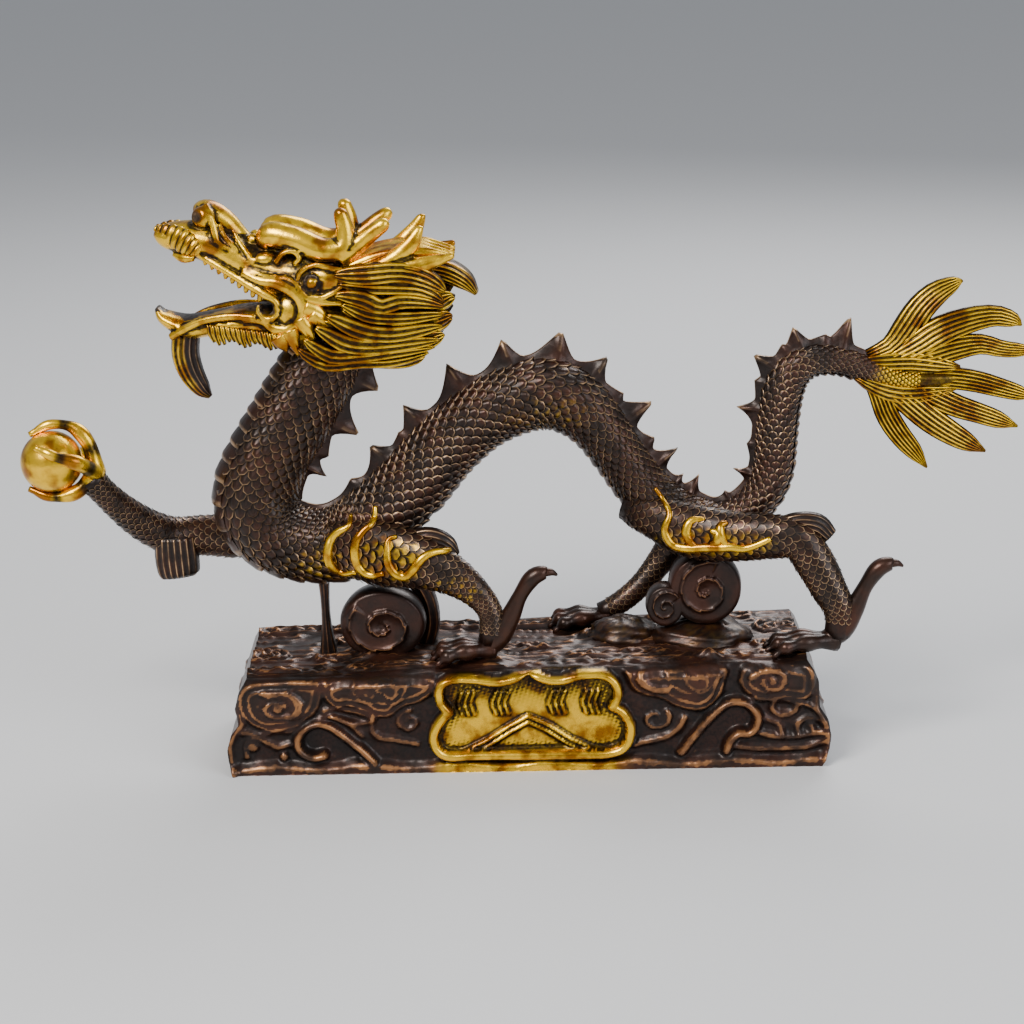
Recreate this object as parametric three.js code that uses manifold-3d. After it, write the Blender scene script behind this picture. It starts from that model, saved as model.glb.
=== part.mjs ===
// Chinese dragon ornament on a cloud-carved plinth: cast brass, patinated dark brown and picked out in gold.
// Two solids: the dragon, one casting from snout to tail, and the plinth with the cloud scrolls that carry the belly.
// Millimetres, +Z up. The origin is the centre of the plinth's flat underside, -Y is the front, -X the head's end.
import * as THREE from "three";
import { mergeVertices } from "three/addons/utils/BufferGeometryUtils.js";
import Module from "manifold-3d";

const wasm = await Module();
wasm.setup();

// ---- driving dimensions ----
const PLINTH_LENGTH = 186;
const PLINTH_DEPTH = 60;
const PLINTH_HEIGHT = 32;
const SEAT_GAP = 0.3; // between the dragon and the hollows it is seated in
const SLIVER = 0.4; // detail smaller than this is merged away
const FIN_THICKNESS = 2.6;
const HEAD_HALF_WIDTH = 15; // at the cheeks
const PEARL = { x: -154.3, y: -1, z: 100.1, radius: 10.4 };

// ---- materials ----
const bronze = new THREE.MeshStandardMaterial({ color: 0x35241d, roughness: 0.4, metalness: 0.75 });
const plinthBronze = new THREE.MeshStandardMaterial({ color: 0x38261f, roughness: 0.45, metalness: 0.7 });

// ---- solids: three.js geometry in, manifold out ----
function solid(geometry) {
  const bare = geometry.index ? geometry.toNonIndexed() : geometry;
  const points = new THREE.BufferGeometry().setAttribute("position", bare.getAttribute("position"));
  const merged = mergeVertices(points, 1e-4);
  return new wasm.Manifold(
    new wasm.Mesh({
      numProp: 3,
      vertProperties: merged.attributes.position.array,
      triVerts: new Uint32Array(merged.index.array),
    }),
  );
}

function joined(solids) {
  return solids.reduce((whole, piece) => whole.add(piece));
}

// The outer skin alone, without the slivers that joining leaves: pockets between overlapping forms are filled.
function cleaned(manifold) {
  const outer = manifold.decompose().reduce((largest, skin) => (skin.volume() > largest.volume() ? skin : largest));
  return outer.simplify(SLIVER);
}

function mesh(name, manifold, material) {
  const { vertProperties, triVerts } = manifold.getMesh();
  const geometry = new THREE.BufferGeometry();
  geometry.setAttribute("position", new THREE.BufferAttribute(new Float32Array(vertProperties), 3));
  geometry.setIndex(new THREE.BufferAttribute(new Uint32Array(triVerts), 1));
  geometry.computeVertexNormals();
  const made = new THREE.Mesh(geometry, material);
  made.name = name;
  return made;
}

// ---- sweeps ----
// A station is [x, y, z, half width across Y, half height in the plane of the path].
function stationCurves(stations) {
  const places = stations.map(([x, y, z]) => new THREE.Vector3(x, y, z));
  const sizes = stations.map(([, , , w, h]) => new THREE.Vector3(w, h, 0));
  return {
    place: new THREE.CatmullRomCurve3(places),
    size: new THREE.CatmullRomCurve3(sizes, false, "catmullrom", 0.4),
  };
}

// The frame at t: tangent, across (towards +Y) and out (the dorsal side when the path runs head to tail).
function frameAt({ place, size }, t) {
  const tangent = place.getTangent(t);
  const across = new THREE.Vector3(0, 1, 0).addScaledVector(tangent, -tangent.y).normalize();
  const out = new THREE.Vector3().crossVectors(tangent, across);
  const { x, y } = size.getPoint(t);
  return { centre: place.getPoint(t), tangent, across, out, width: Math.max(x, 0.2), height: Math.max(y, 0.2) };
}

// A closed tube of elliptical section through the stations.
function sweep(stations, { sides = 8, steps = 2, grow = 0 } = {}) {
  const curves = stationCurves(stations);
  const rings = (stations.length - 1) * steps;
  const position = [];
  const index = [];
  for (let i = 0; i <= rings; i++) {
    const { centre, across, out, width, height } = frameAt(curves, i / rings);
    for (let j = 0; j < sides; j++) {
      const angle = (2 * Math.PI * (j + 0.5)) / sides;
      const point = centre.clone();
      point.addScaledVector(across, Math.cos(angle) * (width + grow));
      point.addScaledVector(out, Math.sin(angle) * (height + grow));
      position.push(point.x, point.y, point.z);
    }
  }
  for (let i = 0; i < rings; i++) {
    for (let j = 0; j < sides; j++) {
      const next = (j + 1) % sides;
      const [a, b] = [i * sides + j, i * sides + next];
      const [c, d] = [a + sides, b + sides];
      index.push(a, b, c, b, d, c);
    }
  }
  const last = rings * sides;
  for (let j = 1; j < sides - 1; j++) {
    index.push(0, j + 1, j, last, last + j, last + j + 1);
  }
  const geometry = new THREE.BufferGeometry();
  geometry.setAttribute("position", new THREE.Float32BufferAttribute(position, 3));
  geometry.setIndex(index);
  return solid(geometry);
}

function ball(x, y, z, radius, { across = 1, tall = 1, detail = 10 } = {}) {
  const geometry = new THREE.SphereGeometry(radius, detail, Math.round(detail * 0.7));
  return solid(geometry.scale(1, across, tall).translate(x, y, z));
}

// The same form on both sides of the head's middle plane.
function bothSides(make) {
  return [make(-1), make(1)];
}

// A plate whose outline is drawn in X and Z, from y = front to y = front + depth.
function plate(shape, front, depth, bevel = 0) {
  const geometry = new THREE.ExtrudeGeometry(shape, {
    depth: depth - 2 * bevel,
    curveSegments: 6,
    bevelEnabled: bevel > 0,
    bevelSize: bevel,
    bevelThickness: bevel,
    bevelOffset: -bevel,
    bevelSegments: 1,
  });
  return solid(geometry.rotateX(Math.PI / 2).translate(0, front + depth - bevel, 0));
}

// ---- body ----
// The spine from the back of the head to the middle of the tail fan: one S through chest, hump, hip and tail riser.
const SPINE = [
  [-58, 0, 143, 10, 11],
  [-68, 0, 125.5, 11.5, 12.8],
  [-76, 0, 112, 12.2, 13.2],
  [-82.6, 0, 101.5, 12.6, 13.2],
  [-87, 0, 91.5, 13, 13.9],
  [-87.6, 0, 83.5, 13.2, 14],
  [-84.5, 0, 76.5, 13, 13.4],
  [-77.5, 0, 72, 12.8, 12.8],
  [-67, 0, 70, 13, 12.6],
  [-56, 0, 72.5, 13, 13.2],
  [-44.5, 0, 81.5, 12.4, 12.8],
  [-33.5, 0, 93.5, 11.8, 12],
  [-24.5, 0, 103.5, 11.4, 11.4],
  [-13, 0, 113, 11, 11.2],
  [0, 0, 119, 11, 11.6],
  [10, 0, 120, 10.8, 11.8],
  [18.6, 0, 115.8, 10.4, 10.6],
  [25.6, 0, 108.6, 10, 9.2],
  [31.9, 0, 99.2, 9.6, 8.5],
  [38.5, 0, 89.7, 9.6, 8.6],
  [45.4, 0, 82.2, 9.8, 8.8],
  [53.8, 0, 77.8, 9.8, 8.2],
  [63, 0, 75.8, 9.2, 7],
  [72, 0, 78.4, 8.4, 6.6],
  [79.2, 0, 85.2, 7.8, 6.6],
  [82.2, 0, 93, 7.2, 6.8],
  [83, 0, 101, 6.8, 6.8],
  [83.8, 0, 111, 6.6, 6.8],
  [85.2, 0, 119.7, 6.2, 6.8],
  [88.5, 0, 126, 5.8, 6.2],
  [94.5, 0, 129.6, 5.2, 5.4],
  [103, 0, 129.6, 4.6, 4.9],
  [112, 0, 126.6, 4.4, 4.4],
  [124, 0, 123, 4.2, 3.4],
  [136, 0, 122.6, 3.6, 2.8],
  [144, 0, 122.8, 2, 1.6],
];
const spineCurves = stationCurves(SPINE);

// Spikes along the back: [station number on the spine, rise above the back]. Half-size barbs stand between them.
const SPIKES = [
  [0.6, 9], [1.5, 9.5], [2.8, 7], [9.9, 3.4], [10.8, 7], [11.95, 8], [13.0, 9.5], [14.0, 9],
  [15.0, 9.5], [15.9, 8.5], [17.3, 10.5], [18.9, 9], [20.9, 6.5], [24.6, 6], [27.2, 7], [28.7, 7.5],
  [29.8, 7], [31.1, 10],
];
const BARE_BACK = 1.2; // rise of the fin's edge between spikes
const TIGHT_BEND = [3.9, 9.1]; // stations between which the fin carries no spikes
const BARB = 0.45;
const FIN_FLANK = 0.5; // half a spike's foot, in stations
const FIN_END = 32.4;

// The spikes with the barbs between them, in order along the spine.
function finPeaks() {
  return SPIKES.flatMap(([at, height], i) => {
    const next = SPIKES[i + 1];
    const crossesBend = next && at < TIGHT_BEND[0] && next[0] > TIGHT_BEND[1];
    if (!next || crossesBend || next[0] - at < 1.3) return [[at, height]];
    return [[at, height], [(at + next[0]) / 2, height * BARB]];
  });
}

// Rise of the fin's edge at a station number: concave sides up to each tip.
function finRise(station) {
  const rises = finPeaks().map(([at, height]) => {
    const reach = Math.min(1, Math.abs(station - at) / FIN_FLANK);
    return BARE_BACK + (height - BARE_BACK) * (1 - reach) ** 1.8;
  });
  return Math.max(...rises);
}

// The dorsal fin: a thin wall that follows the spine, with its foot inside the body.
function dorsalFin() {
  const peaks = finPeaks();
  const knots = peaks.flatMap(([at], i) => {
    const next = i + 1 < peaks.length ? peaks[i + 1][0] : at + 1;
    const reach = Math.min(FIN_FLANK, (next - at) / 2);
    const bare = next - at - 2 * reach;
    const between = Math.max(1, Math.ceil(bare / 0.8));
    const alongBare = Array.from({ length: between + 1 }, (_, k) => at + reach + (bare * k) / between);
    return [at, at + 0.4 * reach, ...(bare > 0 ? alongBare : [at + reach]), next - 0.4 * reach];
  });
  const stations = knots.filter((knot) => knot <= FIN_END);
  const count = stations.length - 1;
  const position = [];
  const index = [];
  for (const station of stations) {
    const { centre, across, out, height } = frameAt(spineCurves, station / (SPINE.length - 1));
    const foot = centre.clone().addScaledVector(out, height - 2.5);
    const edge = centre.clone().addScaledVector(out, height + finRise(station));
    for (const [base, side] of [[foot, -1], [foot, 1], [edge, 0]]) {
      const point = base.clone().addScaledVector(across, (side * FIN_THICKNESS) / 2);
      position.push(point.x, point.y, point.z);
    }
  }
  for (let i = 0; i < count; i++) {
    for (let j = 0; j < 3; j++) {
      const [a, b] = [3 * i + j, 3 * i + ((j + 1) % 3)];
      index.push(a, b, a + 3, b, b + 3, a + 3);
    }
  }
  const last = 3 * count;
  index.push(0, 2, 1, last, last + 1, last + 2);
  const geometry = new THREE.BufferGeometry();
  geometry.setAttribute("position", new THREE.Float32BufferAttribute(position, 3));
  geometry.setIndex(index);
  return solid(geometry);
}

// ---- legs ----
// A clawed foot on the plinth: toes reach forward (-X) and a curved heel claw rises behind.
function foot(x, y, z, { lift = 0, grow = 0, claw = true, length = 18 } = {}) {
  const toes = [-6.5, -1.5, 3.5].map((spread, i) => {
    const reach = length * (i === 0 ? 0.95 : 1.05);
    return sweep(
      [
        [x + 1, y, z + 2.5, 3.6, 3.2],
        [x - 0.45 * reach, y + 0.7 * spread, z + 3 + lift, 2.4, 2.5],
        [x - 0.8 * reach, y + spread, z + 2 + lift, 2, 2],
        [x - reach, y + 1.15 * spread, z - 0.6, 0.7, 0.7],
      ],
      { sides: 5, steps: 1, grow },
    );
  });
  if (!claw) return joined(toes);
  const heel = sweep(
    [
      [x - 3, y, z + 2, 3.4, 3],
      [x + 3, y, z + 6, 3.8, 3.8],
      [x + 7, y, z + 13, 3.2, 3.4],
      [x + 10.5, y, z + 20.5, 2.6, 2.5],
      [x + 14.5, y, z + 26.5, 2.8, 2.6],
      [x + 19, y, z + 28.6, 2, 1.8],
      [x + 22.8, y, z + 27.6, 0.5, 0.5],
    ],
    { sides: 6, steps: 1, grow },
  );
  return joined([...toes, heel]);
}

// A flat tuft of fur with a rounded end, swept from its root.
function tuft(stations) {
  return sweep(stations, { sides: 7, steps: 1 });
}

function nearForeleg(grow) {
  const leg = sweep(
    [
      [-60, -9, 72, 5, 9],
      [-47, -13, 70.5, 7, 11],
      [-35, -16, 68.5, 6.6, 9.4],
      [-24, -17.5, 64, 5.4, 7],
      [-15.5, -18, 57.5, 4.4, 5],
      [-11, -18, 50, 4, 4.2],
      [-11.5, -18, 40.5, 4.2, 4.4],
    ],
    { sides: 8, steps: 1, grow },
  );
  const elbowTuft = tuft([
    [-38, -14, 72, 3, 5],
    [-31.5, -14.5, 74.4, 3, 5.2],
    [-25.5, -15, 72.8, 2.6, 4.4],
    [-21.5, -15, 70, 1, 1.2],
  ]);
  return joined([leg, elbowTuft, foot(-12, -18, 36, { grow })]);
}

// The far foreleg is raised and reaches forward with the pearl.
function pearlArm() {
  const arm = sweep(
    [
      [-80, 7, 76, 6, 8],
      [-94, 9.5, 71, 6.4, 7.6],
      [-106, 10, 71, 6.2, 7],
      [-117, 8.5, 71.4, 6, 6.6],
      [-125, 6, 75.6, 5.6, 6],
      [-132, 3, 82, 5, 5.2],
      [-138, 0.5, 89, 4.6, 4.6],
      [-142, -1, 94.5, 4.8, 5],
    ],
    { sides: 8, steps: 1 },
  );
  const elbowTuft = tuft([
    [-116, 9, 72, 3.4, 7],
    [-115.8, 9, 65, 3.2, 7.6],
    [-115.4, 9, 59.6, 2.8, 7],
    [-115.2, 9, 58, 1.4, 5.4],
  ]);
  return joined([arm, elbowTuft]);
}

// Claws that close round the pearl from the wrist, in pearl radii: [x, y, z] from the pearl's centre.
const CLAWS = [
  [[1.4, 0, -0.4], [1.2, 0.15, 0.5], [0.72, 0.2, 1.06], [0, 0.1, 1.2], [-0.66, 0, 0.9]],
  [[1.4, 0, -0.4], [1, -0.75, 0.1], [0.3, -1.02, 0.42], [-0.35, -0.85, 0.68]],
  [[1.4, 0, -0.4], [1, 0.75, -0.1], [0.3, 1.02, 0.2], [-0.35, 0.9, 0.5]],
  [[1.35, 0, -0.5], [0.75, -0.2, -0.98], [0, -0.3, -1.1], [-0.75, -0.2, -0.84]],
];

function heldPearl() {
  const { x, y, z, radius } = PEARL;
  const claws = CLAWS.map((points) =>
    sweep(
      points.map(([dx, dy, dz], i) => {
        const size = 3.2 - (2.2 * i) / (points.length - 1);
        return [x + dx * radius, y + dy * radius, z + dz * radius, size, size];
      }),
      { sides: 5, steps: 1 },
    ),
  );
  return joined([ball(x, y, z, radius, { detail: 10 }), ...claws]);
}

function nearHindLeg(grow) {
  const leg = sweep(
    [
      [42, -8, 80, 5, 7],
      [54, -11.5, 76, 6.8, 9],
      [68, -14.5, 74.5, 6.8, 8.4],
      [80, -17, 75, 6, 7.6],
      [89, -18, 73.5, 5.4, 6.6],
      [94.6, -18, 66, 5.4, 6.6],
      [99, -18, 57.5, 5, 6],
      [102.8, -18, 49.5, 4.6, 5.2],
      [102.2, -18, 41, 4.6, 4.8],
    ],
    { sides: 8, steps: 1, grow },
  );
  const kneeTuft = tuft([
    [82, -16, 77, 3, 3.4],
    [88.5, -17, 79.6, 2.8, 3.4],
    [95, -17.5, 78.8, 2.6, 3.8],
    [99.4, -17.5, 74.8, 1.8, 2.8],
  ]);
  return joined([leg, kneeTuft, foot(100.5, -18, 37, { grow, length: 21 })]);
}

function farHindLeg(grow) {
  const leg = sweep(
    [
      [60, 9, 74, 6, 7.6],
      [54, 14, 68.5, 5.6, 6.6],
      [47.6, 16, 59, 4.6, 5],
      [40.5, 16.5, 49.6, 4, 4.2],
      [33, 16.5, 43, 4, 4],
      [26, 16.5, 39.6, 4, 3.6],
    ],
    { sides: 8, steps: 1, grow },
  );
  return joined([leg, foot(27, 16.5, 35.5, { grow, claw: false })]);
}

// ---- head ----
function upperJaw() {
  return sweep(
    [
      [-116.3, 0, 175.4, 3, 1.6],
      [-112.5, 0, 174, 6, 4.2],
      [-105, 0, 173, 8, 5.8],
      [-97, 0, 171, 9, 7],
      [-89, 0, 166.5, 10.5, 7.4],
      [-80, 0, 163, 12.5, 9.6],
      [-68, 0, 159.5, HEAD_HALF_WIDTH, 12.5],
      [-55, 0, 154.5, HEAD_HALF_WIDTH, 13.5],
      [-44, 0, 151, 13, 12],
    ],
    { sides: 12, steps: 1 },
  );
}

function lowerJaw() {
  return sweep(
    [
      [-118, 0, 150.5, 3.4, 0.9],
      [-114.5, 0, 146.5, 6, 3],
      [-107, 0, 143.4, 8, 4.4],
      [-98, 0, 144.6, 9.5, 4.8],
      [-88, 0, 145.6, 11.5, 5.6],
      [-77, 0, 144.5, 13, 7.2],
      [-66, 0, 146, 13.5, 9],
    ],
    { sides: 10, steps: 1 },
  );
}

// The nose: two nostril bulbs on a ridge that runs back down the bridge.
function nose() {
  const ridge = sweep(
    [
      [-103, 0, 180.5, 4, 2.6],
      [-99.5, 0, 182, 5, 3.8],
      [-94, 0, 178, 4.6, 4],
      [-88, 0, 171.5, 4.4, 3.4],
      [-82, 0, 169, 4, 2.5],
    ],
    { sides: 6, steps: 1 },
  );
  return [ridge, ...bothSides((side) => ball(-100.5, side * 4.4, 180.5, 4, { tall: 1.1, detail: 6 }))];
}

function lips() {
  return bothSides((side) =>
    sweep(
      [
        [-106, side * 6.8, 168.5, 1.6, 1.6],
        [-97, side * 9, 164.6, 1.8, 1.8],
        [-84, side * 12.2, 157, 1.9, 1.9],
        [-75, side * 13.6, 153.5, 2.2, 2.4],
        [-76, side * 13.2, 147.4, 2.2, 2.2],
        [-88, side * 11.8, 148, 1.9, 1.9],
        [-101, side * 9.4, 147.4, 1.8, 1.8],
        [-111, side * 6.8, 143.2, 1.5, 1.5],
      ],
      { sides: 5, steps: 1 },
    ),
  );
}

function eyes() {
  return bothSides((side) =>
    joined([
      ball(-65.6, side * 12.6, 160.3, 3.4, { detail: 6 }),
      sweep(
        [
          [-73, side * 12.4, 163.5, 1.2, 1.2],
          [-68.5, side * 13.6, 166.5, 1.8, 2.2],
          [-61.5, side * 14, 165.8, 1.9, 2.4],
            [-54, side * 14.6, 162.4, 1.4, 1.4],
        ],
        { sides: 5, steps: 1 },
      ),
    ]),
  );
}

// Antlers lie back along the brow, turn up and fork.
function antler(side) {
  const y = side * 10.5;
  const stem = sweep(
    [
      [-79.5, side * 5.5, 170.5, 3, 2.6],
      [-79, side * 7.5, 174.8, 4.2, 4.2],
      [-71, side * 9, 173.6, 4.4, 4],
      [-62.5, y, 169.8, 4, 3.8],
      [-56, y, 170.6, 3.6, 3.6],
      [-54.8, y, 176, 2.6, 2.8],
      [-56, y, 181.4, 1.9, 2],
      [-56.3, y, 183.4, 0.8, 0.8],
    ],
    { sides: 6, steps: 1 },
  );
  const fork = sweep(
    [
      [-56, y, 168.5, 3.4, 3.4],
      [-51, y, 172, 2.8, 2.8],
      [-46, y * 1.05, 176.4, 2.2, 2.2],
      [-42.2, y * 1.1, 179.6, 1.6, 1.6],
      [-41.2, y * 1.1, 180.4, 0.6, 0.6],
    ],
    { sides: 5, steps: 1 },
  );
  return joined([stem, fork]);
}

function ear(side) {
  const upright = sweep(
    [
      [-48, side * 12, 164, 2.6, 2.4],
      [-40.5, side * 12.6, 166.5, 3, 2.6],
      [-34.5, side * 12.8, 170.6, 2.4, 2.6],
      [-30.8, side * 12.4, 175.4, 0.8, 0.9],
    ],
    { sides: 6, steps: 1 },
  );
  const leaf = sweep(
    [
      [-46, side * 13, 162.5, 3, 3.4],
      [-36, side * 13.6, 163.6, 3, 4],
      [-27, side * 13.4, 166, 2.4, 3],
      [-19.5, side * 12.6, 168.5, 0.8, 1],
    ],
    { sides: 6, steps: 1 },
  );
  return joined([upright, leaf]);
}

// Locks of the mane: [root x, root z, tip x, tip z, half height, rise of its wave].
const MANE_LOCKS = [
  [-52, 159.5, -23.5, 156, 4, 3.2],
  [-50, 155, -23.5, 150.5, 3.6, 2],
  [-52, 151, -24, 146.5, 3.6, -1],
  [-56, 148, -25, 142, 3.8, -2.2],
  [-60, 145.5, -27.5, 138, 4, -3],
  [-66, 143.8, -33.5, 134.8, 4.2, -4],
  [-71, 141.8, -46, 134.6, 3.6, -4],
];

function maneLock([rootX, rootZ, tipX, tipZ, half, wave], side) {
  const y = side * 13.5;
  const stations = [0, 0.35, 0.7, 0.92, 1].map((t, i) => {
    const thick = [3.4, 4.2, 3.4, 2, 0.8][i];
    const tall = [0.8, 1, 0.95, 0.6, 0.2][i] * half;
    const flare = side * 2.4 * Math.sin(Math.PI * t) - side * 1.5 * t;
    const bow = wave * Math.sin(Math.PI * t);
    return [rootX + (tipX - rootX) * t, y + flare, rootZ + (tipZ - rootZ) * t + bow, thick, tall];
  });
  return sweep(stations, { sides: 5, steps: 1 });
}

// The mane's core fills the space between the two sides' locks.
function mane() {
  const core = sweep(
    [
      [-68, 0, 149, 12, 9],
      [-58, 0, 149.5, 14.5, 14],
      [-46, 0, 150.5, 15, 13.6],
      [-35, 0, 149.5, 14, 11.6],
      [-28, 0, 149, 11, 8],
    ],
    { sides: 8, steps: 1 },
  );
  const crown = sweep(
    [
      [-52, 0, 163, 9, 4],
      [-40, 0, 166.4, 9.5, 4],
      [-28, 0, 166, 8, 4],
      [-20, 0, 161.5, 7, 4.4],
      [-13.6, 0, 155.4, 5, 2.8],
    ],
    { sides: 6, steps: 1 },
  );
  return [core, crown, ...MANE_LOCKS.flatMap((lock) => bothSides((side) => maneLock(lock, side)))];
}

// Flame-shaped barbs behind the jaw, and the beard that hangs from the chin.
function cheekBarbs() {
  const barbs = [
    [-63, 149, -53, 141.5],
    [-68, 145, -61.5, 134.5],
    [-74, 142, -70, 133],
  ];
  return barbs.flatMap(([rootX, rootZ, tipX, tipZ]) =>
    bothSides((side) =>
      sweep(
        [
          [rootX - 2, side * 12.5, rootZ + 1, 2.6, 2.6],
          [(rootX + tipX) / 2, side * 14.6, (rootZ + tipZ) / 2, 2, 1.8],
          [tipX, side * 14.4, tipZ, 0.4, 0.4],
        ],
        { sides: 4, steps: 1 },
      ),
    ),
  );
}

function beard() {
  return sweep(
    [
      [-107, 0, 142.5, 5.4, 4.6],
      [-108.4, 0, 135.5, 5, 5],
      [-107, 0, 129, 4.4, 4.6],
      [-103.8, 0, 123.6, 3.4, 3.4],
      [-101, 0, 120.6, 1, 1],
    ],
    { sides: 8, steps: 1 },
  );
}

function head() {
  return joined([
    upperJaw(),
    lowerJaw(),
    beard(),
    ...nose(),
    ...lips(),
    ...eyes(),
    ...bothSides(antler),
    ...bothSides(ear),
    ...mane(),
    ...cheekBarbs(),
  ]);
}

// ---- tail ----
// Fingers of the tail fan: [side step, [x, z, half height] from root to tip].
const TAIL_FINGERS = [
  [
    1.2,
    [
      [113, 130.2, 2.6],
      [120.8, 133.4, 4],
      [126.2, 140.5, 4.8],
      [130, 146.1, 4.6],
      [135, 150.8, 4],
      [140.6, 153.8, 2.4],
      [143.2, 154.6, 1],
    ],
  ],
  [
    -0.8,
    [
      [118.6, 128.5, 3],
      [128, 133.2, 4.6],
      [135.8, 138.2, 5],
      [144.4, 141.6, 4.4],
      [153.1, 143.2, 3.6],
      [159.5, 141.8, 2.6],
      [162.4, 140, 1],
    ],
  ],
  [
    1,
    [
      [121.8, 127.7, 3],
      [132.9, 130.3, 4.4],
      [141.5, 132.7, 4.2],
      [149.5, 133.7, 3.4],
      [156.5, 132, 2.8],
      [163, 131.4, 2.2],
      [166.4, 131.6, 0.9],
    ],
  ],
  [
    -1,
    [
      [132, 123, 3],
      [140, 122.8, 3.6],
      [148, 121.6, 3.6],
      [156, 119.4, 3.2],
      [163, 117.4, 2.4],
      [166.6, 116.8, 0.9],
    ],
  ],
  [
    0.8,
    [
      [127, 120.6, 3],
      [134.6, 117, 4],
      [142, 113.4, 3.8],
      [149.4, 110.8, 3.4],
      [156.6, 108.2, 2.8],
      [162.6, 106, 1.2],
    ],
  ],
  [
    -0.8,
    [
      [119, 121, 3],
      [125.3, 116, 4.2],
      [133, 109.6, 4.4],
      [140, 104.8, 4],
      [146.5, 101, 3],
      [152, 98.2, 1.3],
    ],
  ],
  [
    1,
    [
      [113.5, 123.5, 2.4],
      [116.8, 117.9, 3.4],
      [119.8, 110.6, 3.8],
      [124, 104, 3.6],
      [129, 98, 2.8],
      [133.2, 92.6, 1.3],
    ],
  ],
];

function tailFinger([step, line]) {
  const last = line.length - 1;
  const stations = line.map(([x, z, half], i) => [x, (step * i) / last, z, 0.6 + 0.48 * half, half]);
  return sweep(stations, { sides: 6, steps: 1 });
}

// ---- plinth ----
// The block, seen from the front: two bulging tiers at each end and a top that rises a little to the right.
function block() {
  const half = PLINTH_LENGTH / 2;
  const shape = new THREE.Shape();
  shape.moveTo(-half - 3, 0);
  shape.lineTo(half + 3, 0);
  shape.quadraticCurveTo(half + 9, 10, half + 3.5, 19);
  shape.quadraticCurveTo(half + 4.5, 30, half - 1, PLINTH_HEIGHT + 2);
  shape.quadraticCurveTo(0, PLINTH_HEIGHT - 1, -half + 3, PLINTH_HEIGHT);
  shape.quadraticCurveTo(-half - 3, 28, -half - 0.5, 17.5);
  shape.quadraticCurveTo(-half - 7, 9, -half - 3, 0);
  return plate(shape, -PLINTH_DEPTH / 2, PLINTH_DEPTH, 1.6);
}

// A raised spiral line on the front face: 1.4 turns from the rim of a cloud to its eye.
function spiralRidge(x, z, radius, { turns = 1.4, start = 0, y = -PLINTH_DEPTH / 2, size = 1 } = {}) {
  const count = 9;
  const stations = [];
  for (let i = 0; i <= count; i++) {
    const t = i / count;
    const angle = start + 2 * Math.PI * turns * t;
    const reach = radius * (1 - 0.85 * t);
    stations.push([x + reach * Math.cos(angle), y, z + 0.75 * reach * Math.sin(angle), 1.1 * size, 0.8 * size]);
  }
  return sweep(stations, { sides: 3, steps: 1 });
}

// Clouds on the front: [x, z, radius, where the spiral starts].
const FRONT_CLOUDS = [
  [-80, 23, 12.5, 2.6],
  [-56, 27, 8.5, 3.6],
  [-42, 25.5, 9, 0.4],
  [-37.5, 14.5, 7.5, 2],
  [42.5, 14, 7.5, 0.8],
  [52, 27.5, 9.5, 3.4],
  [78, 26.5, 11.5, 3.2],
  [-86, 8.5, 5, 1.2],
  [84, 11.5, 8, 2.4],
];

function frontClouds() {
  const front = -PLINTH_DEPTH / 2;
  return FRONT_CLOUDS.flatMap(([x, z, radius, start]) => {
    const disc = new THREE.CylinderGeometry(radius, radius * 1.08, 3, 12).scale(1, 1, 0.75);
    return [
      solid(disc.translate(x, front + 0.7, z)),
      spiralRidge(x, z, radius * 0.92, { start, y: front - 0.8 }),
    ];
  });
}

// The cartouche: a bracketed frame round a sunk field with a mountain ridge across it.
const CARTOUCHE = { half: 34, top: 31.5, peak: 36, waist: 29, waistZ: 20.5, bottom: 5.5 };

function cartoucheOutline(inset) {
  const { half, top, peak, waist, waistZ, bottom } = CARTOUCHE;
  const right = [
    [11, top - 1.5 - inset],
    [25, top + 1.5 - inset],
    [half - 3 - inset, top - 2 - inset],
    [half - 1 - inset, top - 7],
    [waist + 1.5 - inset, waistZ],
    [half + 1.5 - inset, 15],
    [half - inset, bottom + 3.5 + inset],
    [half - 7, bottom + inset],
  ];
  const left = right.map(([x, z]) => [-x, z]).reverse();
  const shape = new THREE.Shape();
  shape.moveTo(0, peak - 1.4 * inset);
  for (const [x, z] of [...right, ...left]) shape.lineTo(x, z);
  return shape;
}

function cartoucheFrame() {
  const frame = plate(cartoucheOutline(0), -PLINTH_DEPTH / 2 - 1.6, 4);
  return frame.subtract(plate(cartoucheOutline(2.2), -PLINTH_DEPTH / 2 - 3, 2.6));
}

function mountainRidge() {
  const y = -PLINTH_DEPTH / 2 - 0.4;
  return sweep(
    [
      [-22, y, 7, 1.2, 0.9],
      [-10, y, 13, 1.3, 1],
      [0, y, 18, 1.4, 1.2],
      [10, y, 12.5, 1.3, 1],
      [22, y, 7, 1.2, 0.9],
    ],
    { sides: 4, steps: 1 },
  );
}

// Rows of plain slanting strokes stand where the casting carries an inscription.
const STROKE_PLACES = [-19.5, -8.5, 10, 21];

function strokes() {
  const y = -PLINTH_DEPTH / 2 - 0.4;
  const stroke = (x, z, lean) => {
    const bar = new THREE.BoxGeometry(0.9, 1.8, 3.4).rotateY(lean);
    return solid(bar.translate(x, y, z));
  };
  return STROKE_PLACES.flatMap((x) =>
    [-2, 0, 2].flatMap((dx) => [stroke(x + dx, 25.4, 0.35), stroke(x + dx, 21, -0.35)]),
  );
}

// The scroll clouds that carry the dragon's belly: a thick disc with a spiral on each face.
function supportScroll(x, y, z, radius, tall, thickness) {
  const disc = new THREE.CylinderGeometry(radius, radius, thickness, 16).scale(1, 1, tall);
  const parts = [solid(disc.translate(x, y, z))];
  for (const face of [-1, 1]) {
    parts.push(spiralRidge(x, z, radius * 0.92, { y: y + (face * thickness) / 2, size: 1.5, turns: 1.7, start: 1.2 }));
  }
  return joined(parts);
}

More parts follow.
